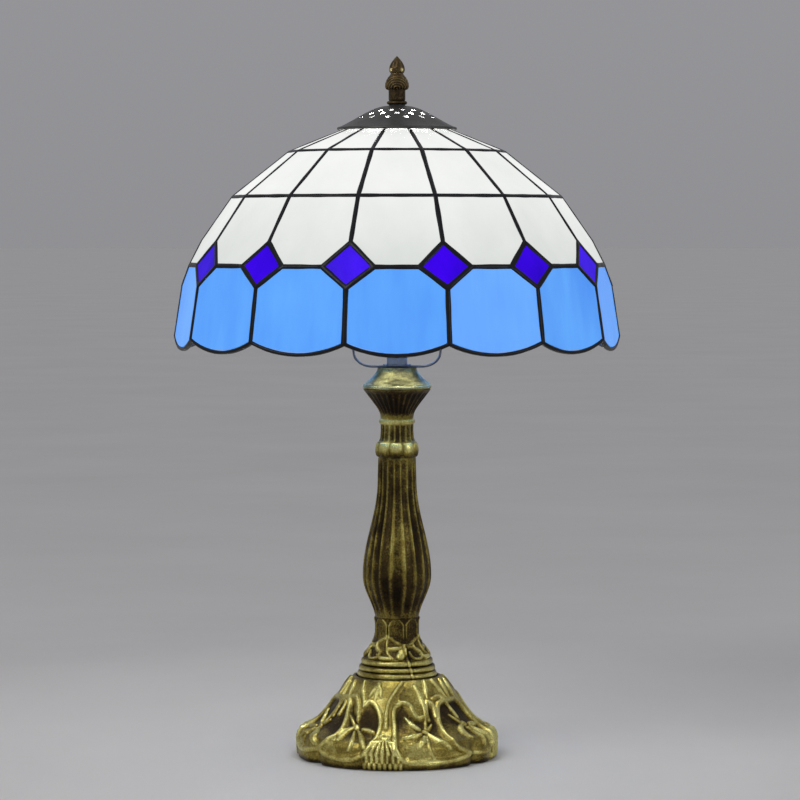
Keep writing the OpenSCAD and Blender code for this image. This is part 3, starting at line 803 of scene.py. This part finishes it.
LEFT_FLOWER = [
    ((1.8, (0.9, 2.2, 1.5)), [(-23, 43), (-20, 54), (-21, 61)]),
    ((2.3, (0.9, 2.4, 2.0)), [(-20, 42.5), (-15, 49), (-12, 58)]),
    ((2.0, (1.5, 2.2, 1.6)), [(-17, 40.5), (-13, 41), (-9, 42.5)]),
    ((1.4, (1.6, 3.5, 0.8)), [(-26, 39.5), (-31, 44), (-30, 55)]),
    ((1.3, (1.2, 1.5, 0.5)), [(-26, 37.5), (-30, 34), (-34, 30.5)]),
    ((1.8, (2.0, 2.2, 2.0)), [(-24, 38.5), (-22.5, 40)]),
    (THIN, [(-24, 35), (-29, 26), (-31, 19)]),
    (BEAD, [(-45, 18), (-38, 16.5), (-32, 19.5), (-27, 27), (-25, 33)]),
]
RIGHT_FLOWER = [
    ((2.2, (1.2, 2.3, 1.1)), [(24, 44.5), (18, 46), (12, 48)]),
    ((1.8, (1.6, 2.0, 0.7)), [(24, 40), (19, 35.5), (14, 30.5)]),
    ((1.8, (1.4, 3.1, 1.2)), [(26, 47), (23, 53.5), (21, 58)]),
    ((1.1, (0.8, 1.1, 0.9)), [(28, 46), (27, 59), (31, 68.5)]),
    ((1.6, (1.1, 3.6, 1.9)), [(30, 45), (35, 52), (40, 60)]),
    ((1.3, (1.4, 1.4, 0.8)), [(31, 40.5), (35, 36.5)]),
    (SEED, [(27, 42), (29, 43.5)]),
    ((1.4, (1.4, 1.5, 1.6)), [(29, 40), (32, 29), (32, 18), (28, 7)]),
    (BEAD, [(34, 33), (34, 24), (38, 19.5), (42, 23), (41, 31)]),
]
BELL = [
    ((1.7, (2.0, 1.3, 1.3)), [(-0.5, 39), (-1, 28.5), (0, 20), (4, 13.5), (9, 8), (14, 4)]),
    (THIN, [(9, 19), (10, 13), (15, 8)]),
    ((1.5, (1.4, 1.5, 1.4)), [(-14, 5.5), (-12.5, 5.5)]),
]
SPIKES = [
    [(-14, 7), (-18, 11), (-20, 16)],
    [(-13.5, 7), (-13.5, 12), (-13.5, 18)],
    [(-13, 7), (-10, 11), (-8, 16)],
    [(-35, 4), (-31, 12), (-25, 18.5), (-23, 24)],
    [(-53, 5), (-49, 11), (-46, 16)],
    [(43, 3), (41, 9), (38, 17)],
    [(56, 3), (59, 11), (62, 18)],
    [(72, 4), (69, 11), (67, 18)],
    [(85, 5), (80, 13), (77, 19)],
    [(-72, 4), (-68, 10), (-65, 17)],
]
FAN_REEDS = (-10.5, -7.5, -4, -0.5, 3, 6.5, 9.5)
FAN_TEETH = (-12.5, -9.5, -6.5, -3.5, -0.5, 2.5, 5.5, 8.5, 11)
FAN_GADROONS = (-11, -8, -5, -2, 1, 4, 7, 10)
FAN_EYELET = ((-3.4, 48), (0, 46), (3.4, 48), (0, 50.3), (-3.4, 48))


def fan():
    """An eyelet over a spread of reeds and a row of teeth, with a gadrooned rim below."""
    strokes = [((1.7, (1.0, 1.0, 1.0)), FAN_EYELET)]
    for u in FAN_REEDS:
        strokes.append((REED, [(u * 0.3, 51.5), (u * 0.66, 57), (u, 62.5)]))
    for u in FAN_TEETH:
        strokes.append((TOOTH, [(u, 61.5), (u * 1.02, 68)]))
    for u in FAN_GADROONS:
        strokes.append(((0.9, (1.3, 1.4, 1.3)), [(u, 69.5), (u, 74)]))
    return strokes


def moved(strokes, degrees):
    return [(kind, [(u + degrees, s) for u, s in line]) for kind, line in strokes]


def foot_strokes():
    half = fan() + moved(fan(), 90) + BELL + RIGHT_FLOWER + LEFT_FLOWER
    half += moved(RIGHT_FLOWER, -90) + moved(LEFT_FLOWER, 90)
    half += [(SPIKE, line) for line in SPIKES]
    rims = (RIGHT_BORDER, LEFT_BORDER, RIGHT_OUTER + RIGHT_OUTER[:1], LEFT_OUTER + LEFT_OUTER[:1])
    half += [(BEAD, line) for line in rims]
    return half + moved(half, 180)


def foot_outer():
    """The foot's outside, from the lip down to its bottom edge."""
    edge = FOOT_R - 4
    return path(
        [[LIP_R, FOOT_TOP]],
        bezier([[30.2, 55.4], [44, 44], [47, 24.5], [FOOT_R - 2.2, 18.6]], 60),
        oval((edge, 12), (4, 6.2), 60, 0, 12),
        [[FOOT_R, 3.0], [FOOT_R - 0.8, EDGE_Z]],
    )


def inside(polygon, u, s):
    """True where the point (u, s) is in the polygon."""
    found = np.zeros(u.shape, bool)
    for (u1, s1), (u2, s2) in zip(polygon, np.roll(polygon, -1, 0)):
        edge = (u2 - u1) * (s - s1) / (s2 - s1 + 1e-12) + u1
        found ^= ((s1 > s) != (s2 > s)) & (u < edge)
    return found


def near(surface, line, limit):
    """Distance from each point to a line, up to limit, and the share of the line passed there."""
    low, high = line.min(0) - limit, line.max(0) + limit
    close = np.flatnonzero(np.all((surface > low) & (surface < high), axis=1))
    best = np.full(len(surface), limit)
    share = np.zeros(len(surface))
    if len(close):
        gap = np.linalg.norm(surface[close, None] - line[None], axis=2)
        nearest = gap.argmin(1)
        best[close] = np.minimum(gap[np.arange(len(close)), nearest], limit)
        share[close] = nearest / max(len(line) - 1, 1)
    return best, share


def raised(surface, on_surface, strokes):
    """Height of the strokes at each point; on_surface(degrees, along) places their lines."""
    relief = np.zeros(len(surface))
    for (height, widths), line in strokes:
        flat = spline(line, steps=6)
        points = even(on_surface(flat[:, 0], flat[:, 1]), 0.5)
        gap, share = near(surface, points, max(widths) * 1.05)
        width = np.interp(share, [0, 0.5, 1], widths)
        relief = np.maximum(relief, height * np.sqrt(np.clip(1 - (gap / width) ** 2, 0, 1)))
    return relief


def drill_cord_hole(foot):
    """The pocket for the bushing's flange and the bore for its tube, at the back."""
    low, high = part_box("cord_bushing")
    height = (low.z + high.z) / 2 / MM
    back = FRONT + math.pi
    out_way = np.array([math.cos(back), math.sin(back), 0])
    side_way = np.array([-math.sin(back), math.cos(back), 0])
    bore, pocket = (5.0, 50, 66), (6.9, FOOT_R - 4.5, 75)
    cutters = []
    for radius, near_end, far_end in (bore, pocket):
        points, faces = peg(0, 0, near_end, far_end, radius, 40)
        side, up, out = points.T[:, :, None]
        points = out * out_way + side * side_way + (up + height) * [0, 0, 1]
        cutters.append(loose_mesh("cord_cutter", [(points, faces)]))
    cut(foot, cutters)
    foot.data.set_sharp_from_angle(angle=math.radians(60))


def sunk_fields(surface, on_outer, u, s):
    """How far each point lies in one of the medallions: 0 outside, 1 well inside."""
    sunk = np.zeros(len(surface))
    for field in (RIGHT_FIELD, LEFT_FIELD, RIGHT_OUTER, LEFT_OUTER):
        smooth = spline(field, closed=True, steps=5)
        for turn in (-180, 0, 180):
            shape = smooth + [turn, 0]
            within = inside(shape, u, s)
            if within.any():
                gap, _ = near(surface, even(on_outer(shape[:, 0], shape[:, 1]), 1.0), 5.0)
                sunk = np.maximum(sunk, np.where(within, ease(0.8, 3.6, gap), 0))
    return sunk


# Notches in the foot's outline, between the medallions and at the sides of each fan: (degrees, depth, width)
NOTCHES = (
    (-47, 4.4, 4.5),
    (60, 4.4, 4.5),
    (-13.5, 1.6, 1.6),
    (12.5, 1.6, 1.6),
    (77, 1.6, 1.6),
    (102, 1.6, 1.6),
)
SINK = 1.25


def notches(u, s):
    bite = np.zeros_like(u)
    for at, depth, width in NOTCHES:
        for turn in (-180, 0, 180):
            bite = np.maximum(bite, depth * hump(u, at + turn, width))
    return bite * ease(50, 66, s)


def foot_wear_and_light(relief, sunk, u, s):
    """How bright the foot is painted: ridges rubbed bright and patina in the medallions, with painted light
    that darkens the medallions towards their tops and lightens them lower down, where they face the lamp
    above.
    """
    hill = np.clip(relief / 1.3, 0, 1)
    lit = ease(30, 64, s)
    # painted light: lit grows down the outline, so the sunk medallions are painted dark near the top and a
    # little lighter near the bottom
    rub_and_light = 0.57 + 0.23 * hill - sunk * (1 - hill) * (0.38 - 0.46 * lit)
    in_fan = np.exp(-((((u + 45) % 90 - 45) / 11) ** 4)) * ease(49, 52, s)
    rub_and_light += in_fan * (0.4 * hill - 0.1)
    # darker in the groove under the lip, and painted shade down the bottom edge
    rub_and_light -= 0.35 * ease(2.5, 0.2, s) + 0.34 * ease(69.5, 73, s) * (1 - 0.6 * hill)
    return np.clip(rub_and_light, 0, 1)


def add_foot():
    columns = 640
    outer = even(foot_outer(), 0.64)
    s = lengths(outer)
    under = path(
        [[61.6, EDGE_Z], [61.6, 2], [58, 2], [58, 12]],
        bezier([[57, 15.5], [44, 19.5], [40, 38], [27, 46.5]], 12),
        [[ROD_HOLE_R, 46.5], [ROD_HOLE_R, SEAT_Z], [LIP_R, SEAT_Z]],
    )
    angle = around(columns)
    u = (np.degrees(angle[0] - FRONT) + 180) % 360 - 180
    grid_u, grid_s = np.meshgrid(u, s)

    def on_outer(degrees, down):
        r, z = np.interp(down, s, outer[:, 0]), np.interp(down, s, outer[:, 1])
        return polar(r, np.radians(degrees) + FRONT, z)

    surface = on_outer(grid_u, grid_s).reshape(-1, 3)
    relief = raised(surface, on_outer, foot_strokes()).reshape(grid_u.shape)
    sunk = sunk_fields(surface, on_outer, grid_u.ravel(), grid_s.ravel()).reshape(grid_u.shape)
    push = relief - SINK * sunk
    bite = notches(grid_u, grid_s)
    normal = out_of(path(outer, under))[: len(outer)]
    r = outer[:, :1] + push * normal[:, :1] - bite
    z = outer[:, 1:] + push * normal[:, 1:]
    r[-2:], z[-2:] = outer[-2:, :1] - bite[-2:], outer[-2:, 1:]
    r[0], z[0] = outer[0, 0], outer[0, 1]
    under = split_long(under, 9.0)
    r = np.vstack([r, np.repeat(under[:, :1], columns, 1)])
    z = np.vstack([z, np.repeat(under[:, 1:], columns, 1)])
    rub_and_light = np.vstack([foot_wear_and_light(relief, sunk, grid_u, grid_s), np.full((len(under), columns), 0.1)])
    points, quads = polar(r, angle, z).reshape(-1, 3), ring_quads(len(r), columns)
    foot = add_piece("cast_foot", points, quads, BRASS, "stand", ["foot"], 70, rub_and_light.ravel())
    drill_cord_hole(foot)


add_foot()


def column_outline(cup):
    seat = bottom("column")
    return path(
        [[26.5, seat], [25.9, 54.2]],
        oval((25.7, 56.8), (1.8, 2.4), -90, 90, 12),
        oval((24.8, 61.1), (1.7, 1.9), -90, 90, 12),
        oval((22.6, 65.4), (2.1, 2.4), -90, 90, 12),
        flare((14.7, 84), (22.8, 68), 1.5)[::-1],
        swell((14.7, 92), (23.6, 124.3)),
        swell((23.6, 124.8), (13.4, 190)),
        [[13, 205.3]],
        oval((12.6, 211.4), (1.9, 5.4), -90, 90, 14),
        [[11.6, 219.2], [11.2, 224.5], [11.3, 228.6]],
        oval((11.2, 230.6), (1.2, 1.7), -90, 90, 8),
        bezier([[11.5, 234.5], [11.5, 238.5], [17.5, 244.5], [23.3, cup]], 20),
    )


def petal(a, half_width, count, turn):
    """Distance of each angle from the nearest of count petals: 0 in its middle, 1 at half_width."""
    each = 2 * np.pi / count
    return np.abs((a - turn + each / 2) % each - each / 2) / half_width


# Petals on the column's flare, as (degrees from a leaf's middle, height). They repeat every quarter turn.
PETALS = [
    ((1.0, (0.8, 1.4, 0.9)), [(-20, 83), (-3, 80), (14, 77.8), (22, 77.8)]),
    ((1.0, (0.9, 1.4, 0.8)), [(23, 77.8), (33, 78), (46, 80), (66, 83)]),
    ((1.7, (1.3, 1.4, 1.3)), [(21, 77.5), (24, 77.3)]),
    ((1.5, (1.0, 1.9, 1.7)), [(18, 76), (2, 75.6), (-16, 75.2)]),
    ((1.9, (1.0, 3.4, 3.2)), [(20, 75), (13, 72.5), (8, 70.6)]),
    ((1.3, (1.0, 1.2, 1.0)), [(25, 76), (38, 76.3), (54, 73.5), (55, 70), (43, 68.6), (32, 69.5), (27, 73)]),
    ((1.7, (0.9, 1.9, 1.3)), [(-38, 71), (-28, 69.3), (-11, 69)]),
    ((1.4, (0.8, 1.5, 0.7)), [(-49, 78.5), (-47, 75.5), (-40, 73)]),
    ((1.0, (0.9, 1.1, 1.0)), [(-23, 84), (-22, 78), (-18, 73), (-6, 69)]),
]
LEAF_FRONT = FRONT + 0.1


def flutes(a, h, count, depth, low, high, fade, uneven=0.0):
    """Hollow flutes with narrow rubbed ridges between them, as uneven as the casting."""
    warp = uneven * (np.sin(3 * a + 0.7) + 0.7 * np.sin(5 * a + 2.1 + h / 40))
    across = np.abs(((a - FRONT + warp) * count / (2 * np.pi)) % 1 - 0.5) * 2
    hollow = ease(1, 0.42, across)
    part = ease(low, low + fade, h) * ease(high, high - fade, h)
    each = 1 + uneven * 8 * np.sin(4 * a + 1.3) * np.cos(h / 17)
    return -depth * hollow * part * each, part * (0.06 * (1 - hollow) - 0.25 * hollow * each)


def gadroons(a, h):
    """The lobed bulge at the head of the shaft, with painted highlights on the lobes' middles and upper
    halves and painted shade under them.
    """
    lobes = petal(a, np.pi / 9, 9, FRONT + 0.1)
    bulge = ease(205.8, 207.5, h) * ease(217.2, 215, h)
    relief = 1.5 * np.sqrt(np.clip(1 - np.minimum(lobes, 1) ** 2, 0, 1)) - 0.95
    # painted highlight over the upper half of each lobe, painted shade under the bulge
    shine = (0.4 * (1 - lobes**2) + 0.1) * ease(208, 214, h) - 0.2 * ease(211, 206, h)
    return bulge * relief, bulge * shine


def leaves(a, h):
    """Round-topped leaves at the foot of the shaft."""
    leaf = petal(a, np.pi / 8.3 * np.sqrt(np.clip((96 - h) / 5, 0.0001, 1)), 8, LEAF_FRONT)
    part = ease(80.5, 83, h) * (h < 96)
    edge = ease(0.7, 0.86, leaf) * ease(1.02, 0.95, leaf)
    relief = 0.55 * edge + 0.5 * (leaf < 1)
    return part * relief, part * np.where(leaf < 1, 0.26 * edge - 0.14, -0.3)


def petals(a, outer):
    """Ribbons knotted over drooping petals, on the flare below the leaves."""
    on_cone = (outer[:, 1] > 67.9) & (outer[:, 1] < 92)
    cone = outer[on_cone]
    cone = cone[np.argsort(cone[:, 1])]

    def on_flare(degrees, height):
        return polar(np.interp(height, cone[:, 1], cone[:, 0]), np.radians(degrees) + LEAF_FRONT, height)

    strokes = []
    for quarter in range(4):
        strokes += moved(PETALS, 90 * quarter)
    h = outer[:, 1:]
    surface = polar(outer[:, :1], a, h)
    part = ease(67.7, 68.3, h) * ease(86, 84, h)
    relief = raised(surface.reshape(-1, 3), on_flare, strokes).reshape(surface.shape[:2]) * part
    return relief, part * (0.42 * np.clip(relief / 1.2, 0, 1) - 0.2 * ease(84, 80, h))


def parting_line(a, outer, side):
    """The mould's parting line, slanting across the rings."""
    h = outer[:, 1:]
    where = np.radians(-65) + np.radians(-9) * (h - 52) / 26 + side
    gap = np.abs((a - where + np.pi) % (2 * np.pi) - np.pi) * outer[:, :1]
    part = ease(82, 76, h)
    line = ease(1.2, 0.0, gap)
    groove = ease(2.6, 1.4, gap) * ease(1.0, 1.4, gap)
    return 0.7 * line * part, 0.2 * (line - groove) * part


def rings(a, outer, cup, slope):
    """The rings under the petals, uneven as cast, with painted highlights where they face outwards, painted
    shade on the lower shaft and under the cup, and a lighter band on the bead ring.
    """
    h = outer[:, 1:]
    part = ease(69, 67.5, h)
    relief = part * 0.22 * np.sin(5 * a + h) * np.sin(3 * a - 0.7 * h + 1)
    # painted highlight on the rings where their surface faces outwards
    shine = part * (0.5 * np.clip(slope, 0, 1) ** 2 - 0.2)
    # painted shade under the shaft's swell
    shine = shine - 0.12 * ease(94, 97, h) * ease(128, 104, h)
    shine = shine + 0.2 * ease(228.4, 229.2, h) * ease(233, 232, h)
    # painted shade under the cup
    return relief, shine - 0.22 * ease(233, 238, h) * ease(cup, cup - 1, h)


def add_column():
    columns = 256
    a = around(columns)
    cup = top("column")
    outer = split_long(column_outline(cup), 0.8)
    hole, room = ROD_HOLE_R, ROD_HOLE_R + 2
    core = path([[hole, cup], [hole, cup - 8], [room, cup - 10], [room, 60.5], [hole, 58.5], [hole, SEAT_Z]])
    core = split_long(core, 12)
    h = outer[:, 1:]
    # how far the surface faces outwards; it places the rings' painted highlights
    slope = out_of(path(outer, core))[: len(outer), :1]
    features = [
        flutes(a, h, 18, 1.1, 95, 207, 9, 0.045),
        flutes(a, h, 18, 0.6, 216.4, 229, 1.5, 0.03),
        flutes(a, h, 30, 0.5, 235, cup - 1.2, 2.5),
        gadroons(a, h),
        leaves(a, h),
        petals(a, outer),
        parting_line(a, outer, 0),
        parting_line(a, outer, np.pi),
        rings(a, outer, cup, slope),
    ]
    relief = np.zeros((len(outer), columns))
    rub_and_light = np.full_like(relief, 0.5)
    for height, shine in features:
        relief += height
        rub_and_light += shine
    relief[0], relief[-1] = 0, 0
    relief *= np.clip(outer[:, :1] / 14, 0.8, 1.1)
    plain = np.zeros((len(core), columns))
    rub_and_light = np.vstack([np.clip(rub_and_light, 0, 1), plain + 0.1]).ravel()
    push = np.vstack([relief, plain])
    outline = path(outer, core)
    add_turned("fluted_column", outline, BRASS, "stand", "column", columns, push, rub_and_light, 60)


add_column()


def add_stem_cap():
    """The smooth flared cap on the cup, a little uneven as cast."""
    cup, head = bottom("stem_cap"), top("stem_cap")
    outline = path(
        [[ROD_HOLE_R, head], [13.2, head]],
        flare((13.4, head - 0.3), (23.2, cup + 3.3), 1.7, 30),
        oval((22, cup + 1.6), (1.6, 1.6), 50, -90, 12),
        [[19.6, cup]],
        flare((11, head - 3), (19.6, cup + 2), 1.7, 8)[::-1],
        [[ROD_HOLE_R, head - 3]],
    )
    outline = split_long(outline, 0.6)
    columns = 180
    a = around(columns)
    h = outline[:, 1:]
    skin = (outline[:, :1] > 13.2) & (h > cup + 0.8) & (h < head - 0.4)
    uneven = np.sin(5 * a + h) * np.sin(0.9 * h + 2 * a) + 0.6 * np.sin(11 * a - 1.7 * h)
    push = np.where(skin, 0.07 * uneven, 0)
    lip = hump(h, cup + 2.2, 1.2) * (outline[:, :1] > 20)
    rub_and_light = np.clip(0.5 + 0.06 * uneven + 0.22 * lip - 0.2 * ease(cup + 0.9, cup, h), 0, 1).ravel()
    # the stem cap takes the paler brass, a painted reflection of white light
    add_turned("flared_stem_cap", outline, BRASS_PAINTED_PALE, "stand", "stem_cap", columns, push, rub_and_light)


add_stem_cap()


# ---- Harp and lampholder ----


def add_harp():
    """A bent strap with rounded edges, drilled for the rod and the stud."""
    t, depth = 1.5, 11.0
    foot_z, head_z = bottom("harp") + t / 2, top("harp") - t / 2
    foot_x = 30.5 - t / 2
    side_x = reach("harp") - t / 2
    right = path(
        [[0, foot_z]],
        oval((foot_x - 13, foot_z + 9.5), (13, 9.5), -90, 0, 14),
        [[side_x - 1, 336], [side_x, 346]],
        oval((10, 385), (side_x - 10, head_z - 385), 0, 90, 24),
        [[0, head_z]],
    )
    loop = even(np.concatenate([right, right[-2:0:-1] * [-1, 1]]), 2.0)
    centres = np.stack([loop[:, 0], np.zeros(len(loop)), loop[:, 1]], 1)
    along = np.roll(centres, -1, 0) - np.roll(centres, 1, 0)
    outs = np.cross(along, [0, 1, 0])
    widths, heights = np.full(len(loop), depth), np.full(len(loop), t)
    points, faces = sweep(centres, outs, widths, heights, True, 20, 5)
    harp = add_piece("bent_strap_harp", points, faces, HARP, "stand", ["harp"])
    holes = [peg(0, 0, foot_z - 3, foot_z + 3, 5.0), peg(0, 0, head_z - 3, head_z + 3, 3.15)]
    cut(harp, [loose_mesh("holes", holes)])
    harp.data.set_sharp_from_angle(angle=math.radians(45))


add_harp()


def add_nut(name, node, flats, bore):
    """A hexagon nut with its corners chamfered on both faces."""
    low, high = bottom(node), top(node)
    columns = 96
    a = around(columns)
    hexagon = flats / 2 / np.cos((a + np.pi / 6) % (np.pi / 3) - np.pi / 6)
    chamfer = flats / 2 + 0.25
    heights = [low, low + 0.55, high - 0.55, high]
    rows = [np.minimum(hexagon, chamfer), hexagon, hexagon, np.minimum(hexagon, chamfer)]
    for level in (high, high - 0.5, low + 0.5, low):
        heights.append(level)
        rows.append(np.full_like(a, bore + (0.4 if level in (high, low) else 0)))
    points = polar(np.concatenate(rows), a, np.array(heights)[:, None]).reshape(-1, 3)
    add_piece(name, points, ring_quads(len(rows), columns), ZINC, "stand", [node], 25)


add_nut("chamfered_neck_nut", "neck_nut", 14, 4.95)


def add_toothed_washer():
    """A shakeproof washer: a ring of teeth twisted out of its plane."""
    node = "toothed_washer"
    z0, z1 = bottom(node), top(node)
    teeth, columns = 14, 336
    a = around(columns)
    phase = (a * teeth / (2 * np.pi)) % 1
    tooth = ease(0.18, 0.26, phase) * ease(0.82, 0.74, phase)
    bore, root = np.full_like(a, 5.3), np.full_like(a, 8.0)
    edge = 8.3 + 1.4 * tooth
    twist = 0.35 * (phase - 0.5) * tooth
    half = (z1 - z0) / 2 * 0.8
    r = np.concatenate([bore, root, edge, edge, root, bore])
    offset = np.array([-half, -half, -half, half, half, half])[:, None]
    twisted = np.array([0, 0, 1, 1, 0, 0])[:, None]
    points = polar(r, a, (z0 + z1) / 2 + offset + twist * twisted).reshape(-1, 3)
    add_piece("shakeproof_washer", points, ring_quads(6, columns), ZINC, "stand", [node], 30)


add_toothed_washer()


def add_lampholder():
    """The black holder: a domed cap and a ribbed body."""
    z, joint = bottom("holder_cap"), top("holder_cap")
    cap = path(
        [[5.0, z], [9.4, z], [9.8, z + 0.5]],
        bezier([[9.8, z + 1.6], [14, z + 2.6], [19.5, 281], [19.5, 287]], 16),
        [[19.5, joint - 0.3], [19.2, joint], [17.8, joint]],
        bezier([[17.8, 287], [17.8, 283], [13, 279.5], [9, 279]], 10),
        [[5.0, 279]],
    )
    add_turned("lampholder_cap", split_long(cap, 1.5), BLACK, "stand", "holder_cap", 120)
    low, high = bottom("holder_body"), top("holder_body")
    body = path(
        [[17.6, low], [19.2, low], [19.5, low + 0.3], [19.5, high - 1]],
        oval((18.5, high - 1), (1, 1), 0, 90, 6),
        [[14.3, high], [14.3, high - 1.4], [17.6, high - 1.4]],
    )
    body = split_long(body, 1.0)
    columns = 240
    h = body[:, 1:]
    skin = (body[:, :1] > 19.4) & (h > low + 3) & (h < high - 5)
    groove = petal(around(columns), np.pi / 40, 40, 0)
    push = np.where(skin, -0.45 * ease(0.6, 1, groove), 0)
    add_turned("lampholder_body", body, BLACK, "stand", "holder_body", columns, push)


add_lampholder()


# ---- Bulb ----


def add_bulb_cap():
    low, high = bottom("bulb_screw_cap"), top("bulb_screw_cap")
    rim = reach("bulb_screw_cap")
    wall = rim - 0.9
    cap = path(
        [[0, low], [rim - 1.6, low], [wall, low + 1.4], [wall, high - 1], [rim, high]],
        [[rim - 0.6, high], [rim - 1.5, high - 1.2], [rim - 1.5, low + 2]],
        [[rim - 2.2, low + 0.6], [0, low + 0.6]],
    )
    cap = split_long(cap, 0.4)
    columns = 144
    h = cap[:, 1:]
    threaded = (cap[:, :1] > rim - 1.0) & (h > low + 1.4) & (h < high - 1)
    thread = np.cos(2 * np.pi * h / THREAD_PITCH - around(columns))
    thread = thread * ease(low + 1.4, low + 3, h) * ease(high - 1, high - 3, h)
    push = np.where(threaded, 0.35 + 0.375 * thread, 0)
    add_turned("threaded_bulb_cap", cap, NICKEL, "bulb", "bulb_screw_cap", columns, push)
    return high


def add_bulb_housing(cap_top, edge):
    """The white housing with shallow fins, and the seat for the board inside its rim."""
    rim = reach("bulb_housing")
    seat = rim - 5.8
    board = bottom("led_board")
    housing = path(
        [[12.5, 308], [12.5, cap_top], [13.8, cap_top]],
        bezier([[13.9, 323], [17, 328], [25, 342], [rim, 355]], 24),
        [[rim, edge], [rim - 1.8, edge], [rim - 1.8, board], [seat, board], [seat, board - 2]],
        bezier([[seat, board - 4], [20, 340], [15, 329], [10.7, 325]], 12),
        [[10.7, 308]],
    )
    housing = split_long(housing, 1.2)
    columns = 240
    h = housing[:, 1:]
    outside = out_of(housing)[:, :1] > 0.3
    fins = ease(0.5, 0.95, petal(around(columns), np.pi / 24, 24, 0))
    push = np.where(outside, -0.5 * fins * ease(327, 331, h) * ease(352, 348, h), 0)
    add_turned("bulb_housing_ribbed", housing, WHITE, "bulb", "bulb_housing", columns, push)


def add_bulb_dome(edge):
    centre = (0, 368.0)
    outer = reach("bulb_dome")
    inner = outer - 1.4
    low_angle = math.degrees(math.asin((edge - centre[1]) / outer))
    dome = path(
        oval(centre, (outer, outer), low_angle, 90, 40),
        oval(centre, (inner, inner), 90, low_angle, 24),
    )
    add_turned("frosted_bulb_dome", dome, DOME, "bulb", "bulb_dome", 96)


THREAD_PITCH = 3.62
HOUSING_TOP = top("bulb_housing")
add_bulb_housing(add_bulb_cap(), HOUSING_TOP)
add_bulb_dome(HOUSING_TOP)


# ---- Finishes of the frame's own pieces ----


NODE_FINISHES = (
    (FELT, ["felt_pad"]),
    (ZINC, ["threaded_rod", "base_nut", "base_washer", "terminal_screws", "harp_stud", "seat_washer"]),
    (BLACK, ["cord_bushing", "bulb_insulator", "finial_washer"]),
    (CERAMIC, ["holder_insert"]),
    (CONTACT, ["screw_shell", "centre_contact"]),
    (NICKEL, ["bulb_contact"]),
    (BOARD, ["led_board"]),
    (WHITE_GLASS, ["top_row", "second_row", "third_row"]),
    (COBALT_GLASS, [f"diamond_{i + 1:02d}" for i in range(PANELS)]),
    (BLUE_GLASS, [f"skirt_panel_{i + 1:02d}" for i in range(PANELS)]),
)


def finish_nodes():
    for finish, nodes in NODE_FINISHES:
        for node in nodes:
            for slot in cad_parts[node].material_slots:
                slot.material = finish


finish_nodes()


# ---- Stage and light ----


FLOOR_HALF = 60.0
FLOOR_GAP = 0.0002
BACKDROP = (0.612, 0.612, 0.645, 1)
HORIZON = 0.46
ZENITH = 0.835


def add_floor():
    mesh = bpy.data.meshes.new("floor")
    corners = [(x * FLOOR_HALF, y * FLOOR_HALF, 0) for x, y in ((-1, -1), (1, -1), (1, 1), (-1, 1))]
    mesh.from_pydata(corners, [], [(0, 1, 2, 3)])
    floor = add_object("floor", mesh)
    floor.location.z = -FLOOR_GAP
    f = Finish("pale_floor")
    f.feed(f.ramp(f.noise(3, 3), [(0.3, (0.60, 0.59, 0.575)), (0.7, (0.64, 0.63, 0.615))]), "Base Color")
    f.feed(f.spread(f.noise(20, 2), 0, 1, 0.5, 0.62), "Roughness")
    mesh.materials.append(f.material)


def add_area(name, place_at, aim, size, power, colour=(1, 1, 1)):
    data = bpy.data.lights.new(name, "AREA")
    data.shape = "DISK"
    data.size = size
    data.energy = power
    data.color = colour
    light = add_object(name, data)
    light.location = place_at
    light.rotation_euler = (Vector(aim) - Vector(place_at)).to_track_quat("-Z", "Y").to_euler()


def add_world():
    """Soft grey all round, dimmer at the horizon, where it meets the floor."""
    world = bpy.data.worlds.new("studio")
    bpy.context.scene.world = world
    world.use_nodes = True
    tree = world.node_tree
    back = tree.nodes["Background"]
    back.inputs["Color"].default_value = BACKDROP
    way = tree.nodes.new("ShaderNodeTexCoord")
    split = tree.nodes.new("ShaderNodeSeparateXYZ")
    tree.links.new(way.outputs["Generated"], split.inputs["Vector"])
    rise = tree.nodes.new("ShaderNodeMapRange")
    for key, number in (("From Min", 0.0), ("From Max", 1.0), ("To Min", HORIZON), ("To Max", ZENITH)):
        rise.inputs[key].default_value = number
    tree.links.new(split.outputs["Z"], rise.inputs["Value"])
    tree.links.new(rise.outputs["Result"], back.inputs["Strength"])


add_floor()
add_world()
add_area("key", (-1.3, -1.5, 1.7), (0, 0, 0.1), 1.0, 15)
add_area("fill", (1.7, -1.3, 0.9), (0, 0, 0.15), 0.9, 5, (0.92, 0.95, 1.0))
bpy.context.scene.view_settings.view_transform = "Standard"
